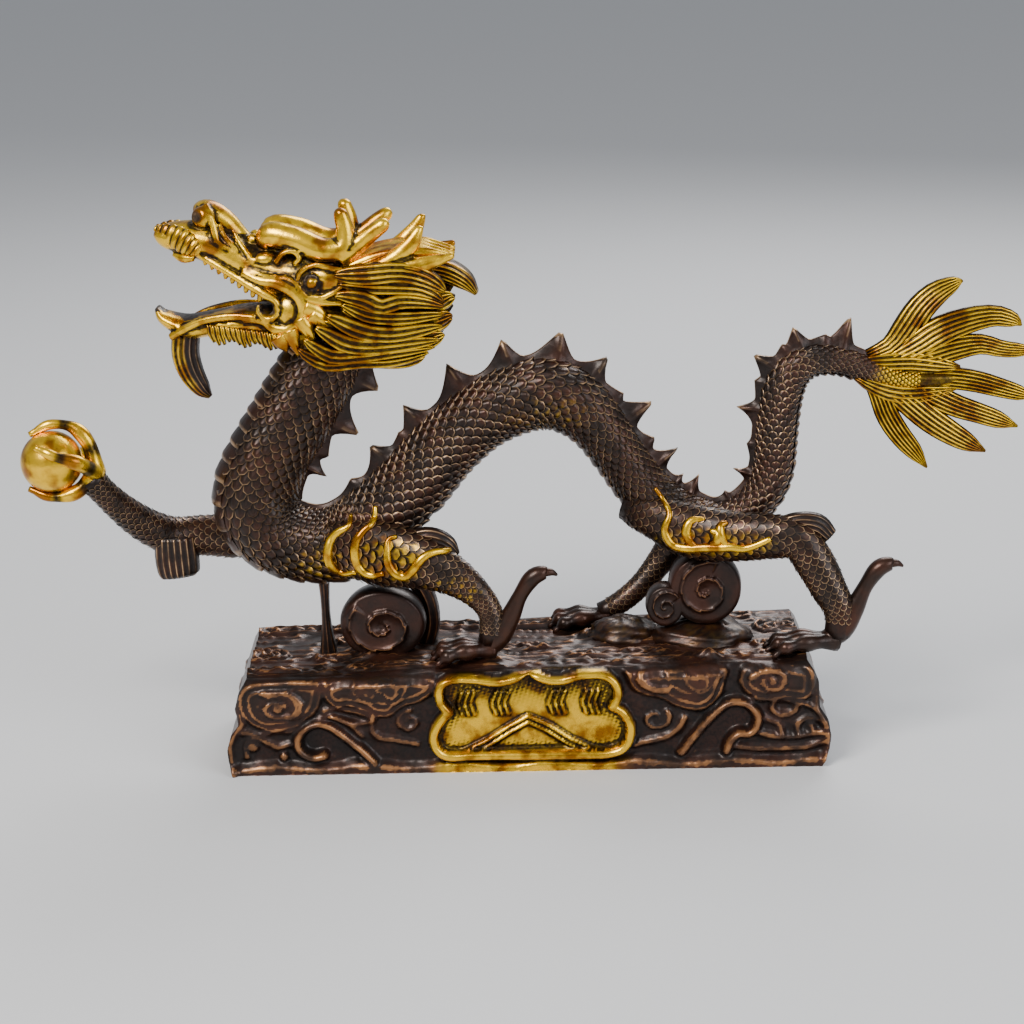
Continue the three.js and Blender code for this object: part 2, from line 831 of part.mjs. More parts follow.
function supports() {
  const stem = sweep(
    [
      [-67, 2, 66, 3, 3.4],
      [-66.6, 1, 54, 2.6, 1.7],
      [-66.2, 0, 42, 2.6, 1.7],
      [-65.6, 0, 31, 3.2, 3.4],
    ],
    { sides: 8, steps: 2 },
  );
  const crescent = sweep(
    [
      [-44, 5, 60, 4, 3.4],
      [-36, 5, 56, 4, 3.4],
      [-32, 5, 47, 4, 3.2],
      [-32, 5, 38, 4, 3.2],
      [-35, 5, 31, 4, 3.6],
    ],
    { sides: 8, steps: 2 },
  );
  return joined([
    supportScroll(-47, -4, 44.2, 14.5, 0.84, 13),
    stem,
    crescent,
    supportScroll(60, -1, 54, 12.4, 1.02, 13),
    supportScroll(46.5, -3, 48, 6.5, 1.1, 9),
    ball(59, -1, 36, 17, { across: 0.8, tall: 0.42, detail: 10 }),
    ball(33, 3, 35, 12, { across: 0.9, tall: 0.6, detail: 8 }),
  ]);
}

// ---- assembly ----
function dragon(grow = 0) {
  return joined([
    sweep(SPINE, { sides: 9, steps: 1, grow }),
    dorsalFin(),
    nearForeleg(grow),
    pearlArm(),
    heldPearl(),
    nearHindLeg(grow),
    farHindLeg(grow),
    head(),
    ...TAIL_FINGERS.map(tailFinger),
  ]);
}

function plinth() {
  const raised = joined([block(), cartoucheFrame(), mountainRidge(), ...strokes(), ...frontClouds(), supports()]);
  const belowGround = solid(new THREE.BoxGeometry(400, 200, 40).translate(0, 0, -20));
  return raised.subtract(belowGround).subtract(dragon(SEAT_GAP));
}

const ornament = new THREE.Group();
ornament.add(mesh("dragon", cleaned(dragon()), bronze), mesh("plinth", cleaned(plinth()), plinthBronze));

export default ornament;
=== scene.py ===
"""Cast brass dragon on a cloud-carved plinth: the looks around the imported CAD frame.

Sizes are millimetres in the row frame: +Z up, -X the head's end, -Y the front. Meshes are made in
millimetres and turned to metres when they become objects.
"""
import math

import bpy
import numpy as np
from mathutils import Matrix, Vector
from mathutils.kdtree import KDTree

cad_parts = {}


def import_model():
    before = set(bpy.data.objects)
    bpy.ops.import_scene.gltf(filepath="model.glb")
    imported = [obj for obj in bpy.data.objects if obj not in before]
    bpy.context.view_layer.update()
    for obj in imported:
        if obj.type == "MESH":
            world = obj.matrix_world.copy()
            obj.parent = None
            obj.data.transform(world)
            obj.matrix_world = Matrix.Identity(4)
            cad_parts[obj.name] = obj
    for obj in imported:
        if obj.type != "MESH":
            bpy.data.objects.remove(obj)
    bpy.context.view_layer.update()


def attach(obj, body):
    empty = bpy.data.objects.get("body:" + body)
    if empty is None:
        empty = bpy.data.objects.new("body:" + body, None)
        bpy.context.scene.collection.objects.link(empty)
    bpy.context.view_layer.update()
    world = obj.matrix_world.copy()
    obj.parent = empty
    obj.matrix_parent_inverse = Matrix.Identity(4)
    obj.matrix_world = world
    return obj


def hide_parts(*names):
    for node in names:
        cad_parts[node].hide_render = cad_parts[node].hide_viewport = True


MM = 0.001
CAMERA_PLACE = (-3.59, -798.5, 301.4)
CAMERA_ANGLE = 23.08  # across the picture, degrees
CAMERA_TILT = 15.5  # down from level
CAMERA_ROLL = 1.0
# Lights: place in metres, size, energy and colour
LIGHTS = [
    ("key", (-0.55, -0.75, 0.95), 0.5, 18, (1, 0.97, 0.92)),
    ("fill", (0.8, -0.7, 0.6), 0.7, 7, (0.92, 0.96, 1)),
    ("rim", (0.3, 0.8, 0.8), 0.6, 8, (1, 1, 1)),
]
LIGHTS_AIM = 0.09  # height that they are aimed at, in metres
rng = np.random.default_rng(7)


# ---- paths ----
def catmull(rows, at):
    """Catmull-Rom through the rows, at fractional row numbers."""
    p = np.asarray(rows, float)
    p = np.vstack([2 * p[0] - p[1], p, 2 * p[-1] - p[-2]])
    at = np.clip(np.asarray(at, float), 0, len(rows) - 1)
    i = np.minimum(at.astype(int), len(rows) - 2)
    t = (at - i)[..., None]
    a, b, c, d = p[i], p[i + 1], p[i + 2], p[i + 3]
    square = 2 * a - 5 * b + 4 * c - d
    cube = 3 * b - a - 3 * c + d
    return 0.5 * (2 * b + (c - a) * t + square * t**2 + cube * t**3)


def unit(v):
    return v / np.maximum(np.linalg.norm(v, axis=-1, keepdims=True), 1e-9)


class Path:
    """A path of stations [x, y, z, half width across Y, half height], with a frame at each of them."""

    def __init__(self, stations):
        self.stations = np.array(stations, float)
        self.last = len(stations) - 1
        self.fine = np.linspace(0, self.last, 30 * len(stations))
        centre = catmull(self.stations[:, :3], self.fine)
        steps = np.linalg.norm(np.diff(centre, axis=0), axis=1)
        self.run = np.concatenate([[0], np.cumsum(steps)])

    def at_length(self, length):
        return np.interp(length, self.run, self.fine)

    def length_at(self, station):
        return np.interp(station, self.fine, self.run)

    def frame(self, at):
        at = np.asarray(at, float)
        values = catmull(self.stations, at)
        ahead = catmull(self.stations[:, :3], at + 0.03)
        behind = catmull(self.stations[:, :3], at - 0.03)
        tangent = unit(ahead - behind)
        across = unit(np.array([0.0, 1.0, 0.0]) - tangent * tangent[..., 1:2])
        out = np.cross(tangent, across)
        width = np.maximum(values[..., 3:4], 0.15)
        height = np.maximum(values[..., 4:5], 0.15)
        return values[..., :3], tangent, across, out, width, height

    def skin(self, at, angle, lift):
        """Points on the elliptical skin, raised by lift along its normal."""
        centre, _, across, out, width, height = self.frame(at)
        cos, sin = np.cos(angle)[..., None], np.sin(angle)[..., None]
        normal = unit(np.concatenate([cos / width, sin / height], axis=-1))
        lift = np.asarray(lift)[..., None]
        sideways = width * cos + lift * normal[..., :1]
        outward = height * sin + lift * normal[..., 1:]
        return centre + across * sideways + out * outward


# ---- shells: vertices with their finish, and faces ----
class Shell:
    """Vertices, faces and, per vertex, edge (rubbed), painted shade with some dark tone, and gold, each 0
    to 1.
    """

    def __init__(self, points, faces, edge=0.0, shade_and_dark_tone=0.0, gold=0.0):
        self.points = np.asarray(points, float).reshape(-1, 3)
        self.faces = [tuple(face) for face in faces]
        count = len(self.points)
        self.edge = np.broadcast_to(np.asarray(edge, float), count).copy()
        # The second finish is mostly painted shade in hollows and creases; it also carries the dark eye
        # rings and the grain of the rocks.
        self.shade_and_dark_tone = np.broadcast_to(np.asarray(shade_and_dark_tone, float), count).copy()
        self.gold = np.broadcast_to(np.asarray(gold, float), count).copy()


def joined(shells):
    points, faces, start = [], [], 0
    for shell in shells:
        points.append(shell.points)
        faces.extend(tuple(i + start for i in face) for face in shell.faces)
        start += len(shell.points)
    finishes = (np.concatenate([getattr(s, name) for s in shells]) for name in ("edge", "shade_and_dark_tone", "gold"))
    return Shell(np.vstack(points), faces, *finishes)


def mirrored(shell):
    """The same shell on the other side of the middle plane Y = 0."""
    faces = [tuple(reversed(face)) for face in shell.faces]
    return Shell(shell.points * [1, -1, 1], faces, shell.edge, shell.shade_and_dark_tone, shell.gold)


def ring_faces(rings, sides, closed=True):
    """Quads between successive rings of points, outward when the ring turns left about the path."""
    faces = []
    for i in range(rings - 1):
        for j in range(sides if closed else sides - 1):
            k = (j + 1) % sides
            faces.append((i * sides + j, i * sides + k, (i + 1) * sides + k, (i + 1) * sides + j))
    return faces


def closed_faces(rings, sides):
    """The faces of a tube with both of its ends closed."""
    last = (rings - 1) * sides
    ends = [tuple(range(sides - 1, -1, -1)), tuple(range(last, last + sides))]
    return ring_faces(rings, sides) + ends


def tube(stations, sides=16, rings=None, gold=0.0, knuckles=0, knuckle=0.0):
    """A closed tube; knuckles swell it that many times along its length."""
    path = Path(stations)
    rings = rings or 5 * path.last + 1
    at = np.linspace(0, path.last, rings)[:, None]
    angle = np.linspace(0, 2 * math.pi, sides, endpoint=False)[None, :]
    at, angle = np.broadcast_arrays(at, angle)
    share = at / path.last
    lift = knuckle * np.cos(2 * math.pi * knuckles * share) * (share < 0.93) if knuckles else 0 * at
    points = path.skin(at, angle, lift)
    edge = 0.8 * np.clip(lift / max(knuckle, 1e-6), 0, 1) if knuckles else 0 * at
    # Painted shade in the grooves between the knuckles
    shade_and_dark_tone = 0.7 * np.clip(-lift / max(knuckle, 1e-6), 0, 1) if knuckles else 0 * at
    return Shell(points, closed_faces(rings, sides), edge.ravel(), shade_and_dark_tone.ravel(), gold)


def sphere_grid(rings, sides):
    """X, Y and Z of a unit sphere in rings from the bottom to the top."""
    polar = np.linspace(0.02, math.pi - 0.02, rings)[:, None]
    turn = np.linspace(0, 2 * math.pi, sides, endpoint=False)[None, :]
    return np.sin(polar) * np.cos(turn), np.sin(polar) * np.sin(turn), -np.cos(polar) + 0 * turn


def ball(centre, radius, sides=24, squash=(1, 1, 1), gold=0.0):
    rings = sides // 2 + 1
    grid = np.stack(sphere_grid(rings, sides), axis=-1)
    points = grid * radius * np.asarray(squash) + np.asarray(centre)
    return Shell(points, closed_faces(rings, sides), 0, 0, gold)


def lock(stations, side, strands=5, depth=0.45, gold=1.0, rings=16):
    """A lock of hair: its outer face, towards side * Y, is carved in strands that run along it."""
    path = Path(stations)
    at = np.linspace(0, path.last, rings)[:, None]
    v = np.linspace(-1, 1, 4 * strands + 1)
    comb = 0.5 + 0.5 * np.cos(math.pi * strands * (v + 1) + math.pi)
    bulge = (1 - v**2) ** 0.4
    centre, _, across, out, width, height = path.frame(at)
    across = across * side
    taper = np.clip(height / height.max(), 0.25, 1)
    face = np.clip(bulge, 0.15, 1)[None, :, None] * width - depth * (1 - comb)[None, :, None] * taper
    front = centre + across * face + out * (v[None, :, None] * height)
    back = [centre - across * 0.35 * width + out * (share * height) for share in (0.7, -0.7)]
    points = np.concatenate([front, *back], axis=1)
    sides = points.shape[1]
    ridge = np.concatenate([comb, [0, 0]])
    ridge = np.broadcast_to(ridge, (rings, sides))
    faces = closed_faces(rings, sides)
    if side > 0:
        faces = [tuple(reversed(face)) for face in faces]
    edge = 0.45 + 0.55 * ridge
    # Painted shade in the gaps between the strands and over the back of the lock
    shade_and_dark_tone = np.clip(3.0 * (1 - ridge) - 1.0, 0, 1)
    return Shell(points, faces, edge.ravel(), shade_and_dark_tone.ravel(), gold)


def two_faced(stations, strands, **look):
    """A lock that is carved on both of its faces."""
    return [lock(stations, side, strands, **look) for side in (-1, 1)]


# ---- scales ----
SCALE_STEPS = 2  # grid of each scale, from its tip along either rim
SCALE_BASE = -0.3  # the roots of the scales against the skin
CORE_LIFT = -0.45  # the tube under the scales against the skin


def scale_cell(with_walls):
    """One scale in its own measures: x in scale widths, y in rows from its tip at 0 to its root at -2.

    A cell lies between its own rim and the rims of the two scales before it, so cells leave no gaps.
    Returns x, y, height, edge and root for each point, and the faces. The last points carry the step
    below the rim.
    """
    steps = SCALE_STEPS
    share = np.linspace(0, 1, steps + 1)
    a, b = np.meshgrid(share, share, indexing="ij")
    quarter = math.pi / 2

    def left_rim(t):
        return -0.5 * np.cos(quarter * t), -1 + np.sin(quarter * t)

    def right_rim(t):
        return 0.5 * np.sin(quarter * t), -1 + np.cos(quarter * t)

    def root_left(t):
        return -0.5 + 0.5 * np.sin(quarter * t), -2 + np.cos(quarter * t)

    def root_right(t):
        return 0.5 - 0.5 * np.cos(quarter * t), -2 + np.sin(quarter * t)

    corners = {(0, 0): (-0.5, -1), (1, 0): (0, 0), (1, 1): (0.5, -1), (0, 1): (0, -2)}
    place = []
    for axis in range(2):
        along = (1 - b) * left_rim(a)[axis] + b * root_right(a)[axis]
        over = (1 - a) * root_left(b)[axis] + a * right_rim(b)[axis]
        blend = sum(
            corners[i, j][axis] * (a if i else 1 - a) * (b if j else 1 - b) for i, j in corners
        )
        place.append(along + over - blend)
    x, y = place
    reach = a * (1 - b)
    height = reach**0.55
    edge = np.maximum(a, 1 - b)
    root = np.minimum(a, 1 - b)
    n = steps + 1
    faces = []
    for i in range(steps):
        for j in range(steps):
            faces.append((i * n + j + 1, (i + 1) * n + j + 1, (i + 1) * n + j, i * n + j))
    if not with_walls:
        return x.ravel(), y.ravel(), height.ravel(), edge.ravel(), root.ravel(), faces
    rim = [i * n for i in range(n)] + [steps * n + j for j in range(1, n)]
    foot = list(range(n * n, n * n + len(rim)))
    walls = [(rim[k + 1], foot[k + 1], foot[k], rim[k]) for k in range(len(rim) - 1)]
    columns = [np.concatenate([grid.ravel(), grid.ravel()[rim]]) for grid in (x, y)]
    height = np.concatenate([height.ravel(), np.full(len(rim), -0.25)])
    edge = np.concatenate([edge.ravel(), np.full(len(rim), 0.6)])
    root = np.concatenate([root.ravel(), np.zeros(len(rim))])
    return columns[0], columns[1], height, edge, root, faces + walls


def scale_coat(path, start, end, columns, rise=0.75, stretch=0.56, belly=0.0, walls=True, turn=0.0):
    """Rows of overlapping scales between two stations, leaving out a strip of half angle belly below."""
    lengths = [float(path.length_at(start))]
    stop = float(path.length_at(end))
    while lengths[-1] < stop:
        _, _, _, _, width, height = path.frame(np.array([path.at_length(lengths[-1])]))
        girth = math.pi * float(width[0, 0] + height[0, 0])
        lengths.append(lengths[-1] + stretch * girth / columns)
    rows = len(lengths)
    cells = []
    for row in range(1, rows):
        for column in range(columns):
            cells.append((row, column + 0.5 * (row % 2)))
    cells = np.array(cells, float)
    middle = 2 * math.pi * cells[:, 1] / columns + turn
    from_below = np.abs((middle - 1.5 * math.pi + math.pi) % (2 * math.pi) - math.pi)
    cells = cells[from_below > belly]
    x, y, height, edge, root, faces = scale_cell(walls)
    jitter = 1 + 0.12 * rng.standard_normal(len(cells))
    row_at = cells[:, :1] + y[None, :]
    length = np.interp(row_at, np.arange(-1, rows), [2 * lengths[0] - lengths[1]] + lengths)
    angle = 2 * math.pi * (cells[:, 1:] + x[None, :]) / columns + turn
    at = path.at_length(length)
    _, _, _, _, width, tall = path.frame(at[:, :1])
    size = np.clip((width + tall)[..., 0] / 20, 0.45, 1.1) * jitter[:, None]
    points = path.skin(at, angle, SCALE_BASE + rise * size * height[None, :])
    count = len(x)
    all_faces = [tuple(k * count + i for i in face) for k in range(len(cells)) for face in faces]
    # Painted shade at the roots of the scales, under the rims of the ones before
    shade_and_dark_tone = np.clip(1 - 3.2 * np.tile(root, len(cells)), 0, 1)
    return Shell(points, all_faces, np.tile(edge, len(cells)), shade_and_dark_tone, 0)


def smooth_core(path, start, end, sides=20):
    """The plain tube under a coat of scales, darkened with painted shade where it shows between them."""
    rings = max(4, int(3 * (end - start)) + 1)
    at = np.linspace(start, end, rings)[:, None]
    angle = np.linspace(0, 2 * math.pi, sides, endpoint=False)[None, :]
    at, angle = np.broadcast_arrays(at, angle)
    points = path.skin(at, angle, CORE_LIFT + 0 * at)
    return Shell(points, closed_faces(rings, sides), 0, 0.6, 0)


def belly_plates(path, start, end, half_angle, pitch=5.0, rise=0.9):
    """Broad overlapping plates across the belly, each stepping down to the next."""
    low, high = float(path.length_at(start)), float(path.length_at(end))
    count = int((high - low) / pitch)
    across = np.linspace(-1, 1, 9)
    shells = []
    for k in range(count):
        along = low + (k + np.array([0, 0.3, 0.8, 1.0, 1.02])) * (high - low) / count
        crown = rise * (1 - 0.6 * np.abs(across[None, :]) ** 3)
        lift = np.array([0.0, 0.55, 1.0, 0.8, -0.5])[:, None] * crown
        at, side = np.broadcast_arrays(path.at_length(along)[:, None], across[None, :])
        points = path.skin(at, 1.5 * math.pi + side * half_angle, lift - 0.1)
        edge = np.array([0.3, 0.4, 0.9, 1.0, 0.5])[:, None] + 0 * side
        # Painted shade at the steps between the plates
        shade_and_dark_tone = np.array([0.9, 0.2, 0.0, 0.0, 0.9])[:, None] + 0 * side
        shells.append(Shell(points, ring_faces(5, 9, closed=False), edge.ravel(), shade_and_dark_tone.ravel(), 0))
    return joined(shells)


# ---- the dragon's body ----
SPINE = [
    [-58, 0, 143, 10, 11],
    [-68, 0, 125.5, 11.5, 12.8],
    [-76, 0, 112, 12.2, 13.2],
    [-82.6, 0, 101.5, 12.6, 13.2],
    [-87, 0, 91.5, 13, 13.9],
    [-87.6, 0, 83.5, 13.2, 14],
    [-84.5, 0, 76.5, 13, 13.4],
    [-77.5, 0, 72, 12.8, 12.8],
    [-67, 0, 70, 13, 12.6],
    [-56, 0, 72.5, 13, 13.2],
    [-44.5, 0, 81.5, 12.4, 12.8],
    [-33.5, 0, 93.5, 11.8, 12],
    [-24.5, 0, 103.5, 11.4, 11.4],
    [-13, 0, 113, 11, 11.2],
    [0, 0, 119, 11, 11.6],
    [10, 0, 120, 10.8, 11.8],
    [18.6, 0, 115.8, 10.4, 10.6],
    [25.6, 0, 108.6, 10, 9.2],
    [31.9, 0, 99.2, 9.6, 8.5],
    [38.5, 0, 89.7, 9.6, 8.6],
    [45.4, 0, 82.2, 9.8, 8.8],
    [53.8, 0, 77.8, 9.8, 8.2],
    [63, 0, 75.8, 9.2, 7],
    [72, 0, 78.4, 8.4, 6.6],
    [79.2, 0, 85.2, 7.8, 6.6],
    [82.2, 0, 93, 7.2, 6.8],
    [83, 0, 101, 6.8, 6.8],
    [83.8, 0, 111, 6.6, 6.8],
    [85.2, 0, 119.7, 6.2, 6.8],
    [88.5, 0, 126, 5.8, 6.2],
    [94.5, 0, 129.6, 5.2, 5.4],
    [103, 0, 129.6, 4.6, 4.9],
    [112, 0, 126.6, 4.4, 4.4],
    [124, 0, 123, 4.2, 3.4],
    [136, 0, 122.6, 3.6, 2.8],
    [144, 0, 122.8, 2, 1.6],
]
spine = Path(SPINE)

# [station number on the spine, rise above the back]
SPIKES = [
    (0.6, 9), (1.5, 9.5), (2.8, 7), (9.9, 3.4), (10.8, 7), (11.95, 8), (13.0, 9.5), (14.0, 9),
    (15.0, 9.5), (15.9, 8.5), (17.3, 10.5), (18.9, 9), (20.9, 6.5), (24.6, 6), (27.2, 7), (28.7, 7.5),
    (29.8, 7), (31.1, 10),
]
BARE_BACK = 1.2
TIGHT_BEND = (3.9, 9.1)
BARB = 0.42
FIN_SPAN = (0.2, 32.3)


def fin_peaks():
    """The spikes with the small barbs between them."""
    peaks = list(SPIKES)
    for (at, rise), (following, _) in zip(SPIKES, SPIKES[1:]):
        crosses_bend = at < TIGHT_BEND[0] and following > TIGHT_BEND[1]
        if following - at > 1.1 and not crosses_bend:
            peaks.append(((at + following) / 2 + 0.1, rise * BARB))
    return peaks


def dorsal_fin():
    """A wall along the back, drawn up into raked spikes with a rib from each tip to the skin."""
    at = np.linspace(*FIN_SPAN, 460)
    rise = np.full(len(at), BARE_BACK)
    rib = np.zeros(len(at))
    for peak, height in fin_peaks():
        reach = np.where(at > peak, 0.34, 0.6)
        near = np.clip(1 - np.abs(at - peak) / reach, 0, 1)
        rise = np.maximum(rise, BARE_BACK + (height - BARE_BACK) * near**1.9)
        rib = np.maximum(rib, np.clip(1.3 - np.abs(at - peak) / 0.1, 0, 1) * min(height / 7, 1))
    centre, _, across, out, _, height = spine.frame(at)
    levels = [(0.0, 3.1), (0.12, 2.1), (0.5, 1.05), (0.9, 0.75), (1.0, 0.4)]
    outline = [(v, t) for v, t in levels] + [(v, -t) for v, t in reversed(levels)]
    rings = []
    for v, half in outline:
        swell = 0.9 * rib * (0.2 < v < 0.95)
        lean = across * np.sign(half) * (abs(half) + swell)[:, None]
        rings.append(centre + out * (height - 2.2 + v * (rise[:, None] + 2.2)) + lean)
    points = np.stack(rings, axis=1)
    sides = len(outline)
    level = np.array([v for v, _ in outline])
    edge = np.where(level > 0.95, 0.97, 0.5)[None, :] + 0.42 * rib[:, None] * (level > 0.3)[None, :]
    # Painted shade at the foot of the fin and over the wall between the ribs
    shade_and_dark_tone = np.where(level < 0.2, 0.9, 0.7 * (level < 0.95))[None, :] - 0.55 * rib[:, None]
    faces = closed_faces(len(at), sides)
    return Shell(points, faces, np.clip(edge, 0, 1).ravel(), np.clip(shade_and_dark_tone, 0, 1).ravel(), 0)


def trunk():
    """Neck, hump and tail riser: a coat of scales each, with plates along the belly."""
    return joined(
        [
            smooth_core(spine, 0, spine.last - 0.05),
            scale_coat(spine, 0.1, 9.6, 20, belly=0.62),
            scale_coat(spine, 9.3, 21.6, 17, belly=0.42),
            scale_coat(spine, 21.2, 33.4, 12, belly=0.3),
            belly_plates(spine, 0.2, 9.0, 0.72),
            belly_plates(spine, 10.6, 21.0, 0.5, pitch=4.0),
            belly_plates(spine, 23.2, 32.6, 0.42, pitch=3.2),
        ]
    )


# ---- limbs ----
NEAR_FORELEG = [
    [-69, -3, 72, 4, 7],
    [-60, -9, 72, 5, 9],
    [-47, -13, 70.5, 7, 11],
    [-35, -16, 68.5, 6.6, 9.4],
    [-24, -17.5, 64, 5.4, 7],
    [-15.5, -18, 57.5, 4.4, 5],
    [-11, -18, 50, 4, 4.2],
    [-11.5, -18, 40.5, 4.2, 4.4],
]
PEARL_ARM = [
    [-73, 2, 77, 5, 7],
    [-80, 7, 76, 6, 8],
    [-94, 9.5, 71, 6.4, 7.6],
    [-106, 10, 71, 6.2, 7],
    [-117, 8.5, 71.4, 6, 6.6],
    [-125, 6, 75.6, 5.6, 6],
    [-132, 3, 82, 5, 5.2],
    [-138, 0.5, 89, 4.6, 4.6],
    [-142, -1, 94.5, 4.8, 5],
]
NEAR_HIND_LEG = [
    [34, -3, 83, 4, 6],
    [42, -8, 80, 5, 7],
    [54, -11.5, 76, 6.8, 9],
    [68, -14.5, 74.5, 6.8, 8.4],
    [80, -17, 75, 6, 7.6],
    [89, -18, 73.5, 5.4, 6.6],
    [94.6, -18, 66, 5.4, 6.6],
    [99, -18, 57.5, 5, 6],
    [102.8, -18, 49.5, 4.6, 5.2],
    [102.2, -18, 41, 4.6, 4.8],
]
FAR_HIND_LEG = [
    [64, 3, 78, 5, 7],
    [60, 9, 74, 6, 7.6],
    [54, 14, 68.5, 5.6, 6.6],
    [47.6, 16, 59, 4.6, 5],
    [40.5, 16.5, 49.6, 4, 4.2],
    [33, 16.5, 43, 4, 4],
    [26, 16.5, 39.6, 4, 3.6],
]
# Tufts at the elbow and the knee, and on the forearm of the raised arm
FORELEG_TUFT = [
    [-38, -14, 72, 3, 5], [-31.5, -14.5, 74.4, 3, 5.2], [-25.5, -15, 72.8, 2.6, 4.4],
    [-21.5, -15, 70, 1, 1.2],
]
KNEE_TUFT = [
    [82, -16, 77, 3, 3.4], [88.5, -17, 79.6, 2.8, 3.4], [95, -17.5, 78.8, 2.6, 3.8],
    [99.4, -17.5, 74.8, 1.8, 2.8],
]
ARM_TUFT = [
    [-116, 6, 72, 5, 7], [-115.8, 6, 65, 5, 7.4], [-115.4, 6, 59.6, 4.6, 7], [-115.2, 6, 58, 3, 5.6],
]
PEARL = {"centre": (-154.2, -1, 100.1), "radius": 10.2}
CLAWS = [
    [[1.4, 0, -0.4], [1.2, 0.15, 0.5], [0.72, 0.2, 1.06], [0, 0.1, 1.2], [-0.66, 0, 0.9]],
    [[1.4, 0, -0.4], [1, -0.75, 0.1], [0.3, -1.02, 0.42], [-0.35, -0.85, 0.68]],
    [[1.4, 0, -0.4], [1, 0.75, -0.1], [0.3, 1.02, 0.2], [-0.35, 0.9, 0.5]],
    [[1.35, 0, -0.5], [0.75, -0.2, -0.98], [0, -0.3, -1.1], [-0.75, -0.2, -0.84]],
]


def scaled_limb(stations, start, end, columns):
    """A limb with a coat of scales between two of its stations."""
    path = Path(stations)
    return joined(
        [
            smooth_core(path, 0, path.last, sides=16),
            scale_coat(path, start, end, columns, rise=0.9, stretch=0.62, walls=False, turn=0.2),
        ]
    )


def foot(x, y, z, length=18, claw=True):
    """Three toes with knuckles and nails reach forward, and a curved heel claw rises behind."""
    shells = []
    for i, spread in enumerate((-6.5, -1.5, 3.5)):
        reach = length * (0.95 if i == 0 else 1.05)
        toe = [
            [x + 1, y, z + 2.5, 3.6, 3.2],
            [x - 0.45 * reach, y + 0.7 * spread, z + 3, 2.4, 2.5],
            [x - 0.8 * reach, y + spread, z + 2, 2, 2],
            [x - reach, y + 1.15 * spread, z - 0.6, 0.7, 0.7],
        ]
        shells.append(tube(toe, sides=12, rings=25, knuckles=3, knuckle=0.45))
    if claw:
        heel = [
            [x - 3, y, z + 2, 3.4, 3],
            [x + 3, y, z + 6, 3.8, 3.8],
            [x + 7, y, z + 13, 3.2, 3.4],
            [x + 10.5, y, z + 20.5, 2.6, 2.5],
            [x + 14.5, y, z + 26.5, 3.1, 2.9],
            [x + 18.4, y, z + 28.4, 2.5, 2.3],
            [x + 19.6, y, z + 28.5, 1.1, 1],
        ]
        nail = [
            [x + 18, y, z + 28.4, 1.8, 1.5],
            [x + 20.8, y, z + 28.4, 1.4, 1.2],
            [x + 22.8, y, z + 27.4, 0.4, 0.4],
        ]
        shells += [tube(heel, sides=16, rings=30), tube(nail, sides=12, rings=12)]
    return joined(shells)


def limbs():
    return joined(
        [
            scaled_limb(NEAR_FORELEG, 0.3, 6.6, 14),
            foot(-12, -18, 36),
            scaled_limb(PEARL_ARM, 0.4, 7.6, 13),
            scaled_limb(NEAR_HIND_LEG, 0.3, 8.4, 13),
            foot(100.5, -18, 37, length=21),
            scaled_limb(FAR_HIND_LEG, 0.4, 5.4, 11),
            foot(27, 16.5, 35.5, claw=False),
            *two_faced(FORELEG_TUFT, 6, gold=0),
            *two_faced(KNEE_TUFT, 5, gold=0),
            *two_faced(ARM_TUFT, 7, gold=0),
        ]
    )


def held_pearl():
    centre, radius = np.array(PEARL["centre"]), PEARL["radius"]
    shells = [ball(centre, radius, 40, gold=1)]
    for points in CLAWS:
        half = np.linspace(3.2, 1, len(points))
        stations = [[*(centre + np.array(p) * radius), h, h] for p, h in zip(points, half)]
        shells.append(tube(stations, sides=16, rings=26, gold=1, knuckles=2.5, knuckle=0.25))
    return joined(shells)


# ---- head ----
def both(near):
    """A shell of the near side and its mirror image."""
    return [near, mirrored(near)]


SNOUT_LEAF = [
    [-115.8, -1.5, 176.4, 1, 0.9], [-112, -4, 175.4, 1.8, 3], [-107.5, -6.2, 173.6, 2, 3.9],
    [-103.8, -7.6, 171.4, 1.8, 3.4], [-101.4, -8, 169.4, 1, 1.4],
]
LIP_CURL = [[-110.4, -3, 168.4, 0.9, 0.9], [-107, -5, 167.4, 1.7, 1.7], [-103.4, -6.8, 167.6, 1.1, 1.1]]
# Round forms of the near side: centre, radius, sides, squash
HEAD_BALLS = [
    ((-100, -4.2, 180.2), 3.7, 20, (1.1, 1, 1)),  # nostril
    ((-72.5, -11.6, 150.6), 5.4, 24, (1.1, 0.75, 1.1)),  # jaw joint
    ((-80.4, -8.8, 167.2), 3.2, 18, (1.4, 1, 0.8)),  # brow
    ((-84.6, -4, 172.6), 2.2, 16, (1, 1, 1)),  # wart on the snout
    ((-61.4, -12.6, 160.9), 5, 28, (1.65, 0.72, 0.95)),  # eye socket
]


def head_base():
    """The forms that run into each other in the casting: they are fused and softened together."""
    upper = [
        [-116.3, 0, 175.4, 3, 1.6], [-112.5, 0, 174, 6, 4.2], [-105, 0, 173, 8, 5.8],
        [-97, 0, 171, 9, 7], [-89, 0, 166.5, 10.5, 7.4], [-80, 0, 163, 12.5, 9.6],
        [-68, 0, 159.5, 14.6, 12.5], [-55, 0, 154.5, 14.6, 13.5], [-44, 0, 151, 13, 12],
    ]
    lower = [
        [-117, 0, 150.8, 3.4, 0.9], [-114.5, 0, 147.4, 6, 2.4], [-107, 0, 144.4, 8, 3.8],
        [-98, 0, 145.4, 9.5, 4], [-88, 0, 146.2, 11.5, 5], [-77, 0, 145.2, 13, 7],
        [-66, 0, 146, 13.5, 9],
    ]
    bridge = [
        [-103, 0, 180.5, 4, 2.6], [-99.5, 0, 181.6, 5, 3.8], [-94, 0, 178, 4.6, 4],
        [-88, 0, 171.5, 4.4, 3.4], [-82, 0, 169, 4, 2.5],
    ]
    shells = [tube(upper, 28, 50), tube(lower, 24, 36), tube(bridge, 16, 24)]
    for centre, radius, sides, squash in HEAD_BALLS:
        shells += both(ball(centre, radius, sides, squash))
    shells += both(tube(LIP_CURL, 12, 16))
    return joined(shells)


